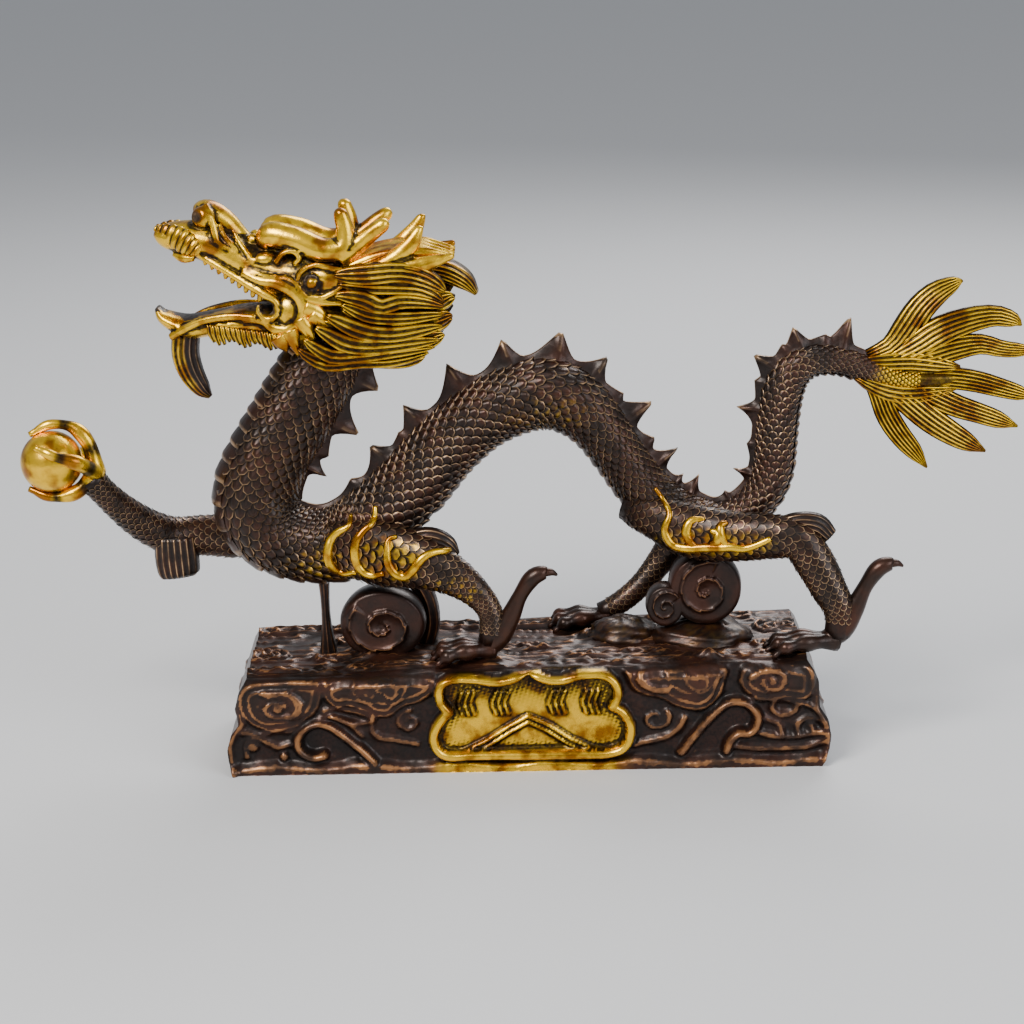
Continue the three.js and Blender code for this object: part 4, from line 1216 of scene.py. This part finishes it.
SIDE_WISPS = [
    [
        (-66, 21.5), (-62.5, 22.2), (-58.5, 21.6), (-54.5, 20.8), (-50.5, 18.6), (-54, 17), (-59, 18),
        (-63.5, 20),
    ],
    [(-50, 18.5), (-50.5, 14.5), (-48, 12), (-43, 11), (-36, 9.5)],
    [(-68, 19), (-62.5, 19.6), (-57.5, 16.6), (-54, 12.5)],
    [(-91.6, 6), (-92, 10), (-90, 12.2), (-87.5, 12), (-84, 10.4), (-81, 9.2), (-77, 10.4)],
    [(-92.5, 14.4), (-86.5, 13.8), (-81.5, 14.8), (-77.5, 14.8), (-73.5, 16.4)],
    [(35, 8), (41, 9.4), (46.5, 11), (50, 14), (51.4, 17)],
    [(69.3, 22.5), (74, 23), (81, 23), (87, 22.4), (92.5, 20.4), (96, 17.4), (98.6, 14)],
    [(80.5, 22), (80.3, 19.4), (83, 17.4), (87, 18.4), (88.3, 21)],
    [(89, 10.5), (88.6, 14), (91, 16), (94.5, 16), (97, 14), (96, 12), (93.6, 12.2), (92.8, 14)],
    [(76, 11.5), (81.5, 10), (87.5, 9.8), (93.5, 10.8), (98.4, 11)],
    [(67.5, 7), (74.5, 6), (83, 5.8), (92, 6.4), (98, 8.8)],
    [(75.5, 17), (78.5, 16), (82, 14.4), (83.6, 11)],
]
FRONT_SPIRALS = [
    ((-80.5, 23.6, 10.4, 6.4), 1.6, 2.2, -1),
    ((-44.3, 28.4, 4.2, 3.8), 1.3, 3.0, -1),
    ((-38.2, 17.3, 5.6, 4.8), 1.5, 1.4, 1),
    ((56, 30.6, 4.8, 4), 1.4, 2.6, 1),
    ((42, 16.8, 6, 5), 1.5, 0.8, -1),
    ((79.4, 30, 7.6, 5.6), 1.6, 3.0, -1),
]
# Raised borders up the ends and along the top edge
END_BORDERS = [
    [
        (-96, 1), (-97.2, 6), (-97, 11), (-94.6, 15.6), (-93, 18), (-94, 24), (-92.4, 29), (-88, 32.2),
        (-78, 32.8), (-66, 32.4),
    ],
    [(98, 2), (98.6, 8), (98, 14), (95, 20), (94.4, 26), (93.4, 31), (92, 35.4)],
]
BOSSES = [(-80.8, 23.6, 1.7), (-89.5, 9.4, 2.0), (-79.6, 5.8, 1.7), (79.8, 30, 1.2)]

# ---- plinth: cartouche ----
# The rim of the cartouche, from its peak round to the right: arcs that meet in corners
CARTOUCHE = [
    [(0.6, 35.2), (5.5, 32), (11, 31.2), (17.5, 32.8), (24.5, 33), (28.8, 30), (29.8, 25.6), (28, 22)],
    [
        (28, 22), (31.6, 19.6), (33.8, 15), (33.4, 10.4), (30.8, 7), (25.5, 5.6), (18, 5.6), (0, 5.6),
        (-17, 5.8), (-25.5, 5.6), (-29.4, 8), (-30.5, 12.4), (-28.6, 17.2), (-25.4, 20.8),
    ],
    [
        (-25.4, 20.8), (-28, 24.4), (-28, 29.4), (-24, 32.2), (-17, 32.2), (-10, 31), (-4, 32.2),
        (0.6, 35.2),
    ],
]
MOUNTAIN = [(-20, 6), (-13, 9.4), (-6, 14), (0.5, 17.6), (7, 14.4), (14, 9.6), (22, 5.8)]
STROKE_PLACES = (-19.5, -8.5, 10, 21)


def cusped_line(arcs):
    """Smooth arcs joined end to end, with a corner where two arcs meet."""
    return np.vstack([smooth_line(arc)[:-1] for arc in arcs])


def strokes(x, z):
    """Rows of plain slanting strokes where the casting has an inscription."""
    height = np.zeros(np.shape(x))
    for centre in STROKE_PLACES:
        for across in (-2, 0, 2):
            for level, lean in ((25.4, 0.6), (21, -0.6)):
                line = [(centre + across - lean, level - 1.6), (centre + across + lean, level + 1.6)]
                height = np.maximum(height, ridge(distance(x, z, line), 0.55, 1.9))
    return height


def front_carving(x, z):
    """Height of the front's carving, how much of it is gold, and how dark it is with painted shade."""
    foot = 2.6 * np.clip((4.2 + 0.6 * np.sin(0.21 * x) - z) / 2.2, 0, 1)
    height = -2.0 + 0.25 * np.sin(0.35 * x + 0.2 * z) * np.sin(0.5 * z) + foot
    height = height + 0.5 * rough(0.9 * x, 0.9 * z)
    for line in (CLOUD_LEFT, CLOUD_RIGHT, ROLL_LEFT, ROLL_RIGHT):
        outline = smooth_line(line, closed=True)
        inset = np.abs(distance(x, z, outline) - 2.7)
        height = height + swell(x, z, outline, 3.4, 3.0)
        height = height + ridge(inset, 0.6, 0.8) * inside(x, z, outline)
    for line in (CLOUD_LEFT_FOLD, CLOUD_RIGHT_FOLD):
        height = height + swell(x, z, smooth_line(line, closed=True), 0.9, 1.8)
    for line in (CLOUD_RIGHT_EDGE, *SIDE_WISPS):
        height = height + ridge(distance(x, z, smooth_line(line)), 1.1, 1.7)
    for place, turns, start, way in FRONT_SPIRALS:
        height = height + rolled(x, z, place, turns, start, way, 2.0)
    for line in (WAVE_LEFT, WAVE_RIGHT):
        way = smooth_line(line)
        height = np.where(inside(x, z, way), -2.4, height)
        height = np.maximum(height, 1.9 - (distance(x, z, way) / 1.0) ** 2)
    for line in END_BORDERS:
        height = height + ridge(distance(x, z, smooth_line(line)), 1.4, 2.0)
    for bx, bz, radius in BOSSES:
        away = np.hypot(x - bx, z - bz) / radius
        dome = 1.7 * np.sqrt(np.clip(1 - away**2, 0, 1))
        height = height + np.where(away < 1, dome, -0.6 * np.exp(1 - away))
    height = blurred(height, 1)

    frame = cusped_line(CARTOUCHE)
    gap = distance(x, z, frame)
    within = inside(x, z, frame)
    mountain = distance(x, z, np.array(MOUNTAIN))
    field = -1.6 + strokes(x, z) + ridge(np.abs(mountain - 0.9), 0.65, 1.9) + 0.12 * rough(2 * x, 2 * z)
    height = np.where(within, field, height)
    rim = 2.6 * np.sqrt(np.clip(1 - (gap / 1.7) ** 2, 0, 1))
    height = np.where(gap < 1.7, np.maximum(height, rim), height)
    gold = np.clip(np.where(within, 1.0, 1.5 - 0.8 * gap), 0, 1)
    strip = np.clip((35 - np.abs(x - 1)) / 11, 0, 1) * np.clip((5.6 - z) / 1.5, 0, 1)
    lip = ridge(distance(x, z, np.array([(-30, 33.6), (0, 35.2), (34, 34.2)])), 0.8, 0.9)
    lip = 0.8 * lip * np.clip((33 - np.abs(x)) / 18, 0, 1)
    stipple = 0.6 + 0.8 * np.sin(2.9 * x + 1.7 * z) * np.sin(3.1 * z - 1.3 * x)
    # Painted shade in the gold field close to the frame, stippled, and darker towards the top
    painted_frame_shade = np.clip(1.5 * np.exp(-(gap - 1.6) / 2.4) * stipple + 0.025 * (z - 16), 0, 0.95)
    # Painted shade on the low ground outside the cartouche
    outside = np.where(gap > 1.7, np.clip(0.3 - 0.32 * height, 0, 0.85), 0)
    shade = np.where(within, painted_frame_shade * (gap > 1.5), outside)
    return height, np.maximum(np.maximum(gold, strip), lip), shade


# ---- plinth: carving on the top, the back and the ends ----
# Low clouds on the top: [x, y, half length, half width]
TOP_CLOUDS = [
    (-78, -23, 14, 4.2), (-86, -6, 7, 8), (-76, 20, 15, 6), (-42, -20, 15, 4.6), (-60, -10, 9, 4),
    (-30, 20, 16, 6), (-8, -6, 14, 5), (6, 18, 15, 6), (12, -24, 13, 3.8), (30, -15, 15, 5),
    (45, -24, 15, 4), (60, 20, 17, 6), (72, -22, 13, 4.4), (86, 8, 8, 9), (-52, 8, 12, 5),
    (30, 4, 10, 5), (84, -10, 8, 5),
]
# Banks that rise off the top: [x, y, reach along X, along Y, height]
BANKS = [
    (59, -1, 20, 16, 3), (33, 3, 16, 13, 3), (-47, -4, 17, 13, 2.5), (-14, -18, 13, 10, 2),
    (96, -18, 15, 10, 1.8),
]
BACK_SPIRALS = [
    ((-70, 18, 13, 9), 1.6, 0.5, 1), ((-28, 16, 13, 9), 1.6, 2.5, -1), ((18, 17, 14, 9), 1.6, 1, 1),
    ((62, 17, 14, 10), 1.6, 2.2, -1),
]


def rough(x, y):
    """A lumpy surface, 0 to 1, for rock."""
    lumps = np.sin(0.9 * x + 1.3 * np.sin(0.7 * y)) * np.sin(1.1 * y + 0.8 * np.sin(0.8 * x))
    return 0.5 + 0.3 * lumps + 0.2 * np.sin(2.3 * x + y) * np.sin(2.1 * y - 0.6 * x)


def top_carving(x, y):
    band = (y + 1.6 * np.sin(0.13 * x + 0.5 * np.sin(0.4 * y)) + 0.9 * np.sin(0.31 * x + y)) / 5.2
    height = 0.35 * rough(0.4 * x, 0.4 * y) + ridge((band - np.round(band)) * 5.2, 0.55, 0.8)
    for cx, cy, reach_x, reach_y in TOP_CLOUDS:
        pinch = 1 + 0.35 * np.cos(2 * np.arctan2((y - cy) / reach_y, (x - cx) / reach_x))
        away = np.hypot((x - cx) / reach_x, (y - cy) / reach_y) / (0.75 * pinch)
        for ring, rise in ((1.0, 1.5), (0.6, 1.2), (0.2, 1.6)):
            height = height + ridge((away - ring) * 0.75 * min(reach_x, reach_y), 0.5, rise)
    for cx, cy, reach_x, reach_y, rise in BANKS:
        away = ((x - cx) / reach_x) ** 2 + ((y - cy) / reach_y) ** 2
        height = height + rise * np.clip(1 - away, 0, 1) ** 1.5
    return height


def back_carving(x, z):
    height = 0 * x
    for place, turns, start, way in BACK_SPIRALS:
        height = height + ridge(distance(x, z, spiral(*place, turns, start, way)), 1.0, 0.9)
    return height


def blurred(grid, rounds):
    for _ in range(rounds):
        padded = np.pad(grid, 1, mode="edge")
        grid = (padded[:-2, 1:-1] + padded[2:, 1:-1] + padded[1:-1, :-2] + padded[1:-1, 2:] + grid) / 5
    return grid


def wear_and_shade(height, rounds=4, gain=2.6, shade=0):
    """Rubbed ridges, and painted shade in the hollows, from how a height differs from its surroundings.
    """
    proud = height - blurred(height, rounds)
    broad = 0.05 * np.clip(height, 0, 2)
    return np.clip(0.66 + gain * proud + broad, 0, 1), np.clip(np.maximum(-gain * proud, shade), 0, 1)


END_SPIRAL = (0, 19, 16, 9)  # on either end: y, z, reach along Y and along Z
# Grid of the block: rows up each side, round its top edge and across the top, and columns along it
FRONT_ROWS, EDGE_ROWS, TOP_ROWS, COLUMNS = 56, 5, 78, 325


def end_line(points, share):
    """X of an end of the block at shares of its height."""
    x, z = np.array(points, float).T
    return np.interp(share * z[-1], z, x)


def block_sections():
    """Sections across Y, one after the other along X: up the front, over the top and down the back.

    Returns their points and their finishes.
    """
    share = np.linspace(0, 1, COLUMNS)[:, None]
    nominal = -PLINTH_REACH + 2 * PLINTH_REACH * share
    top = plinth_top(nominal)
    shoulder = top - PLINTH_EDGE
    turn = (np.arange(1, EDGE_ROWS + 1) / EDGE_ROWS * math.pi / 2)[None, :]
    up = np.linspace(0, 1, FRONT_ROWS)[None, :]
    level = np.concatenate([up * shoulder, shoulder + PLINTH_EDGE * np.sin(turn)], axis=1)
    inset = np.concatenate([0 * up, PLINTH_EDGE * (1 - np.cos(turn))], axis=1) + 0 * level
    left = end_line(LEFT_END, level / top)
    right = end_line(RIGHT_END, level / top)
    x = left + (right - left) * share

    front, front_gold, shade = front_carving(x, level)
    fade = np.cos(np.concatenate([0 * up, turn], axis=1))
    front = np.clip(front, *FRONT_RELIEF) * fade
    back = back_carving(x, level) * fade
    front_points = np.stack([x, PLINTH_FRONT + inset - front, level], axis=-1)
    back_points = np.stack([x, PLINTH_BACK - inset + np.clip(back, *BACK_RELIEF), level], axis=-1)

    across = np.linspace(0, 1, TOP_ROWS + 2)[None, 1:-1]
    y = PLINTH_FRONT + PLINTH_EDGE + across * (PLINTH_BACK - PLINTH_FRONT - 2 * PLINTH_EDGE)
    top_x = x[:, -1:] + 0 * y
    top_y = y + 0 * top_x
    margin = np.clip(np.minimum(across, 1 - across) / 0.06, 0, 1)
    over = top_carving(top_x, top_y) * margin
    top_points = np.stack([top_x, top_y, top + over], axis=-1)

    points = np.concatenate([front_points, top_points, back_points[:, ::-1]], axis=1)
    # Painted shade: the hollows and low ground of the front and the low parts of the top are darkened
    front_finish = (*wear_and_shade(front, shade=shade), front_gold)
    top_finish = (*wear_and_shade(over, 3, shade=0.45 - 0.3 * over), 0 * over)
    back_finish = (*wear_and_shade(back), 0 * back)
    finishes = []
    for front_part, top_part, back_part in zip(front_finish, top_finish, back_finish):
        parts = [front_part, top_part, back_part[:, ::-1]]
        finishes.append(np.concatenate(parts, axis=1).ravel())
    return points, finishes


def end_wall(section, outward):
    """Rows of points between the front and the back of an end section, with a spiral in relief."""
    rows = FRONT_ROWS + EDGE_ROWS
    first = section[:rows]
    far = section[::-1][:rows]
    t = np.linspace(0, 1, TOP_ROWS + 2)[1:-1]
    inner = first[:, None] + (far - first)[:, None] * t[None, :, None]
    inner[-1] = section[rows : rows + TOP_ROWS]
    line = spiral(*END_SPIRAL, start=1, way=outward)
    relief = ridge(distance(inner[..., 1], inner[..., 2], line), 1.0, 1.0)
    inner[:-1, :, 0] += outward * (relief * np.clip(4 * t * (1 - t), 0, 1))[:-1]
    return inner, relief


def block():
    """The carved block: its sections, closed by a carved wall at each end and one face below."""
    section, finishes = block_sections()
    around = section.shape[1]
    points = [section.reshape(-1, 3)]
    faces = []
    for i in range(COLUMNS - 1):
        for k in range(around - 1):
            corner = i * around + k
            faces.append((corner, corner + around, corner + around + 1, corner + 1))
    count = COLUMNS * around
    rows = FRONT_ROWS + EDGE_ROWS
    rims = []
    for column, outward in ((0, -1), (COLUMNS - 1, 1)):
        inner, relief = end_wall(section[column], outward)
        grid = np.empty((rows, TOP_ROWS + 2), int)
        grid[:, 0] = column * around + np.arange(rows)
        grid[:, -1] = column * around + around - 1 - np.arange(rows)
        grid[:-1, 1:-1] = count + np.arange((rows - 1) * TOP_ROWS).reshape(rows - 1, TOP_ROWS)
        grid[-1, 1:-1] = column * around + rows + np.arange(TOP_ROWS)
        points.append(inner[:-1].reshape(-1, 3))
        wall_finish = (*wear_and_shade(relief), 0 * relief)
        for k in range(3):
            finishes[k] = np.concatenate([finishes[k], wall_finish[k][:-1].ravel()])
        count += (rows - 1) * TOP_ROWS
        for i in range(rows - 1):
            for j in range(TOP_ROWS + 1):
                quad = (grid[i, j], grid[i + 1, j], grid[i + 1, j + 1], grid[i, j + 1])
                faces.append(tuple(int(v) for v in (quad if outward < 0 else reversed(quad))))
        rims.append([int(v) for v in grid[0]])
    front_foot = [i * around for i in range(1, COLUMNS - 1)]
    back_foot = [i * around + around - 1 for i in range(COLUMNS - 2, 0, -1)]
    faces.append(tuple(rims[0][::-1] + front_foot + rims[1] + back_foot))
    return Shell(np.vstack(points), faces, *finishes)


# ---- plinth: the clouds that carry the dragon ----
SCROLL_TURNS = 1.75


def scroll_disc(x, y, z, radius, tall, thickness, start):
    """A thick disc with a rounded rim and a deep spiral on its front and back."""
    sides, reach_rows = 72, 22
    turn = np.linspace(0, 2 * math.pi, sides, endpoint=False)[None, :]
    reach = np.linspace(0.02, 1, reach_rows)[:, None]
    turn, reach = np.broadcast_arrays(turn, reach)
    px, pz = reach * np.cos(turn) * radius, reach * np.sin(turn) * radius
    rim = 0.86 * radius
    crest = distance(px, pz, spiral(0, 0, rim, rim, SCROLL_TURNS, start))
    fall = (1 - np.clip((reach - 0.84) / 0.16, 0, 1) ** 2) ** 0.5
    carving = rolled(px, pz, (0, 0, rim, rim), SCROLL_TURNS, start, 1, 0.13 * radius)
    carving = carving + ridge(crest, 0.05 * radius, 0.04 * radius) - 0.5
    lip = 0.5 * thickness * (0.55 + 0.45 * fall) + carving * fall
    # Painted shade in the grooves of the spiral, over a darker floor
    edge, shade_and_dark_tone = wear_and_shade(carving * fall, 2, 1.6, shade=0.3)
    front = np.stack([x + px, y - lip, z + tall * pz], axis=-1)[:-1]
    middle = np.stack([x + px, y + 0 * lip, z + tall * pz], axis=-1)[-1:]
    back = np.stack([x + px, y + lip, z + tall * pz], axis=-1)[:-1][::-1]
    points = np.concatenate([front, middle, back])
    edges = np.concatenate([edge[:-1], edge[-1:], edge[:-1][::-1]])
    shade_and_dark_tones = np.concatenate([shade_and_dark_tone[:-1], shade_and_dark_tone[-1:], shade_and_dark_tone[:-1][::-1]])
    rings = len(points)
    faces = [tuple(reversed(face)) for face in closed_faces(rings, sides)]
    return Shell(points, faces, edges.ravel(), shade_and_dark_tones.ravel(), 0)


def boulder(centre, radii, seed):
    """A lumpy rock."""
    sides, rings = 52, 27
    x, y, z = sphere_grid(rings, sides)
    lumps = 0
    for f in (2.3, 4.1, 7.9, 13.7):
        wave = np.sin(f * x + seed + 1.7 * f * z) * np.sin(f * y - 2 * seed + f * z)
        lumps = lumps + wave * np.cos(f * z + seed) / f**0.6
    grain = rng.standard_normal(lumps.shape)
    swollen = 1 + 0.13 * lumps + 0.02 * grain
    points = np.stack([x, y, z], axis=-1) * swollen[..., None] * np.asarray(radii) + np.asarray(centre)
    # Painted shade between the lumps, with random grain in the tone of the rock
    _, shade_and_dark_tone = wear_and_shade(lumps, 2, 1.2)
    shade_and_dark_tone = np.clip(shade_and_dark_tone + 0.45 + 0.3 * grain, 0.1, 1)
    faces = closed_faces(rings, sides)
    return Shell(points, faces, 0, shade_and_dark_tone.ravel(), 0.16)


# The stem under the neck and the crescent behind the big scroll
STEM = [
    [-67, 2, 66, 3, 3.4], [-66.6, 1, 54, 2.6, 1.7], [-66.2, 0, 42, 2.6, 1.7], [-65.6, 0, 31, 3.2, 3.4],
]
CRESCENT = [
    [-45, 5, 60.5, 4, 3.2], [-38, 5, 57.5, 4, 3.4], [-33, 5, 50, 4, 3.4], [-31.6, 5, 41, 4, 3.3],
    [-34, 5, 32, 4, 3.6],
]


def supports():
    """The scrolls, rocks and stems between the plinth and the dragon."""
    shells = [
        scroll_disc(-47, -4, 44.4, 14.4, 0.86, 13.4, 2.4),
        scroll_disc(60, -1, 54, 12.3, 1.02, 13.4, 1.2),
        scroll_disc(46.6, -3, 48.4, 6.4, 1.1, 9.4, 0.6),
        boulder((59, -1, 36), (17, 13, 6.6), 1.0),
        boulder((33, 3, 36), (11.5, 10, 6.2), 2.3),
    ]
    for stations in (STEM, CRESCENT):
        shells += two_faced(stations, 3, depth=0.5, gold=0)
    return shells


# ---- objects ----
def to_object(name, shell, material):
    mesh = bpy.data.meshes.new(name)
    mesh.from_pydata((shell.points * MM).tolist(), [], shell.faces)
    for attribute in ("edge", "shade_and_dark_tone", "gold"):
        layer = mesh.attributes.new(attribute, "FLOAT", "POINT")
        layer.data.foreach_set("value", getattr(shell, attribute).astype(np.float32))
    mesh.polygons.foreach_set("use_smooth", np.ones(len(mesh.polygons), dtype=bool))
    mesh.materials.append(material)
    obj = bpy.data.objects.new(name, mesh)
    bpy.context.scene.collection.objects.link(obj)
    return obj


# ---- materials ----
DRAGON_COLOURS = {
    "dark": (0.022, 0.0115, 0.0075),
    "rub": (0.50, 0.31, 0.16),
    "gold_deep": (0.34, 0.125, 0.006),
    "gold_bright": (1.0, 0.6, 0.02),
}
PLINTH_COLOURS = {
    "dark": (0.024, 0.0125, 0.009),
    "rub": (0.34, 0.15, 0.055),
    "gold_deep": (0.3, 0.115, 0.006),
    "gold_bright": (1.0, 0.6, 0.025),
}
# Painted shade: the near black put in the hollows of the gold and of the patina
GOLD_CREVICE_SHADE = (0.01, 0.006, 0.004)
BROWN_CREVICE_SHADE = (0.006, 0.004, 0.004)


def patinated_brass(name, dark, rub, gold_deep, gold_bright):
    """Dark brown patina, rubbed to bronze on its edges, with gold where the gold attribute says, both
    darkened by painted shade in the hollows.
    """
    material = bpy.data.materials.new(name)
    material.use_nodes = True
    nodes, links = material.node_tree.nodes, material.node_tree.links
    shader = nodes["Principled BSDF"]

    def attribute(label):
        node = nodes.new("ShaderNodeAttribute")
        node.attribute_name = label
        return node.outputs["Fac"]

    def ramp(value, low, high, to_low=0.0, to_high=1.0):
        node = nodes.new("ShaderNodeMapRange")
        node.interpolation_type = "SMOOTHSTEP"
        links.new(value, node.inputs["Value"])
        node.inputs["From Min"].default_value = low
        node.inputs["From Max"].default_value = high
        node.inputs["To Min"].default_value = to_low
        node.inputs["To Max"].default_value = to_high
        return node.outputs["Result"]

    def noise(scale, detail=4.0):
        node = nodes.new("ShaderNodeTexNoise")
        links.new(object_place, node.inputs["Vector"])
        node.inputs["Scale"].default_value = scale
        node.inputs["Detail"].default_value = detail
        return node.outputs["Fac"]

    def mix(share, first, second):
        node = nodes.new("ShaderNodeMix")
        node.data_type = "RGBA"
        links.new(share, node.inputs["Factor"])
        for socket, value in ((node.inputs["A"], first), (node.inputs["B"], second)):
            if isinstance(value, tuple):
                socket.default_value = (*value, 1)
            else:
                links.new(value, socket)
        return node.outputs["Result"]

    def product(first, second):
        node = nodes.new("ShaderNodeMath")
        node.operation = "MULTIPLY"
        links.new(first, node.inputs[0])
        links.new(second, node.inputs[1])
        return node.outputs["Value"]

    object_place = nodes.new("ShaderNodeTexCoord").outputs["Object"]
    edge = ramp(attribute("edge"), 0.84, 1.0)
    shade_and_dark_tone = attribute("shade_and_dark_tone")
    gold_mask = attribute("gold")
    blotch = ramp(noise(95), 0.35, 0.68)
    grain = ramp(noise(900, 2), 0.3, 0.75)
    worn = product(edge, ramp(noise(190, 6), 0.34, 0.66, 0.1, 1.0))
    brown = mix(blotch, dark, tuple(min(1.0, 2.6 * c) for c in (dark[0], dark[1] * 0.62, dark[2] * 0.45)))
    patina = mix(worn, brown, rub)
    gold = mix(ramp(noise(140, 6), 0.36, 0.58), gold_deep, gold_bright)
    # Painted shade: the gold and the patina turn near black where the hollows are marked
    gold = mix(product(ramp(shade_and_dark_tone, 0, 0.7), ramp(grain, 0, 1, 0.9, 1.0)), gold, GOLD_CREVICE_SHADE)
    patina = mix(product(shade_and_dark_tone, ramp(grain, 0, 1, 0.7, 1.0)), patina, BROWN_CREVICE_SHADE)
    gilt = ramp(gold_mask, 0.05, 0.95)
    links.new(mix(gilt, patina, gold), shader.inputs["Base Color"])
    links.new(ramp(gilt, 0, 1, 0.62, 0.95), shader.inputs["Metallic"])
    polish = mix(gilt, (0.34, 0.34, 0.34), (0.27, 0.27, 0.27))
    polish = mix(product(shade_and_dark_tone, grain), polish, (0.62, 0.62, 0.62))
    links.new(polish, shader.inputs["Roughness"])
    bump = nodes.new("ShaderNodeBump")
    bump.inputs["Strength"].default_value = 0.22
    bump.inputs["Distance"].default_value = 0.0004
    links.new(noise(700, 6), bump.inputs["Height"])
    links.new(bump.outputs["Normal"], shader.inputs["Normal"])
    shader.inputs["Coat Weight"].default_value = 0.12
    shader.inputs["Coat Roughness"].default_value = 0.22
    return material


# ---- build ----
def main():
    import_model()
    bronze = patinated_brass("patinated_brass", **DRAGON_COLOURS)
    plinth_bronze = patinated_brass("patinated_brass_plinth", **PLINTH_COLOURS)

    plinth = to_object("cloud_plinth", joined([block(), *supports()]), plinth_bronze)
    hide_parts("plinth")
    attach(plinth, "root")

    body = gild_body(joined([trunk(), limbs()]))
    skull = [head_base(), *head_lines(), *brow_curls(), *eyeballs(), *antlers(), *ears()]
    head = paint_head_shade_and_eye_rings(fuse(joined(skull)))
    face = [*snout_leaves(), *teeth(), *cheek_flames(), *jaw_bristles(), *beard()]
    hair = [*mane(), *crown_hair(), *tail_fan()]
    shells = [body, dorsal_fin(), held_pearl(), head, *face, *hair, *flames()]
    dragon = to_object("dragon_casting", joined(shells), bronze)
    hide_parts("dragon")
    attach(dragon, "root")

    stage_and_camera()


def stage_and_camera():
    scene = bpy.context.scene
    mesh = bpy.data.meshes.new("floor")
    mesh.from_pydata([(-30, -30, 0), (30, -30, 0), (30, 30, 0), (-30, 30, 0)], [], [(0, 1, 2, 3)])
    floor = bpy.data.objects.new("floor", mesh)
    scene.collection.objects.link(floor)
    paper = bpy.data.materials.new("paper")
    paper.use_nodes = True
    matte = paper.node_tree.nodes["Principled BSDF"]
    matte.inputs["Base Color"].default_value = (0.62, 0.62, 0.63, 1)
    matte.inputs["Roughness"].default_value = 0.85
    mesh.materials.append(paper)

    world = bpy.data.worlds.new("studio")
    world.use_nodes = True
    sky = world.node_tree.nodes["Background"]
    sky.inputs["Color"].default_value = (0.9, 0.94, 1.0, 1)
    sky.inputs["Strength"].default_value = 0.45
    scene.world = world
    for name, place, size, energy, colour in LIGHTS:
        light = bpy.data.lights.new(name, "AREA")
        light.size = size
        light.energy = energy
        light.color = colour
        lamp = bpy.data.objects.new(name, light)
        lamp.location = place
        aim = Vector((0, 0, LIGHTS_AIM)) - Vector(place)
        lamp.rotation_euler = aim.to_track_quat("-Z", "Y").to_euler()
        scene.collection.objects.link(lamp)

    camera = bpy.data.objects.new("camera", bpy.data.cameras.new("camera"))
    camera.data.sensor_fit = "HORIZONTAL"
    camera.data.angle = math.radians(CAMERA_ANGLE)
    camera.location = Vector(CAMERA_PLACE) * MM
    tilt, roll = math.radians(CAMERA_TILT), math.radians(CAMERA_ROLL)
    back = Vector((0, -math.cos(tilt), math.sin(tilt)))
    up = Vector((0, math.sin(tilt), math.cos(tilt)))
    right = Vector((1, 0, 0))
    across = right * math.cos(roll) - up * math.sin(roll)
    above = right * math.sin(roll) + up * math.cos(roll)
    camera.rotation_euler = Matrix((across, above, back)).transposed().to_euler()
    scene.collection.objects.link(camera)
    scene.camera = camera


main()
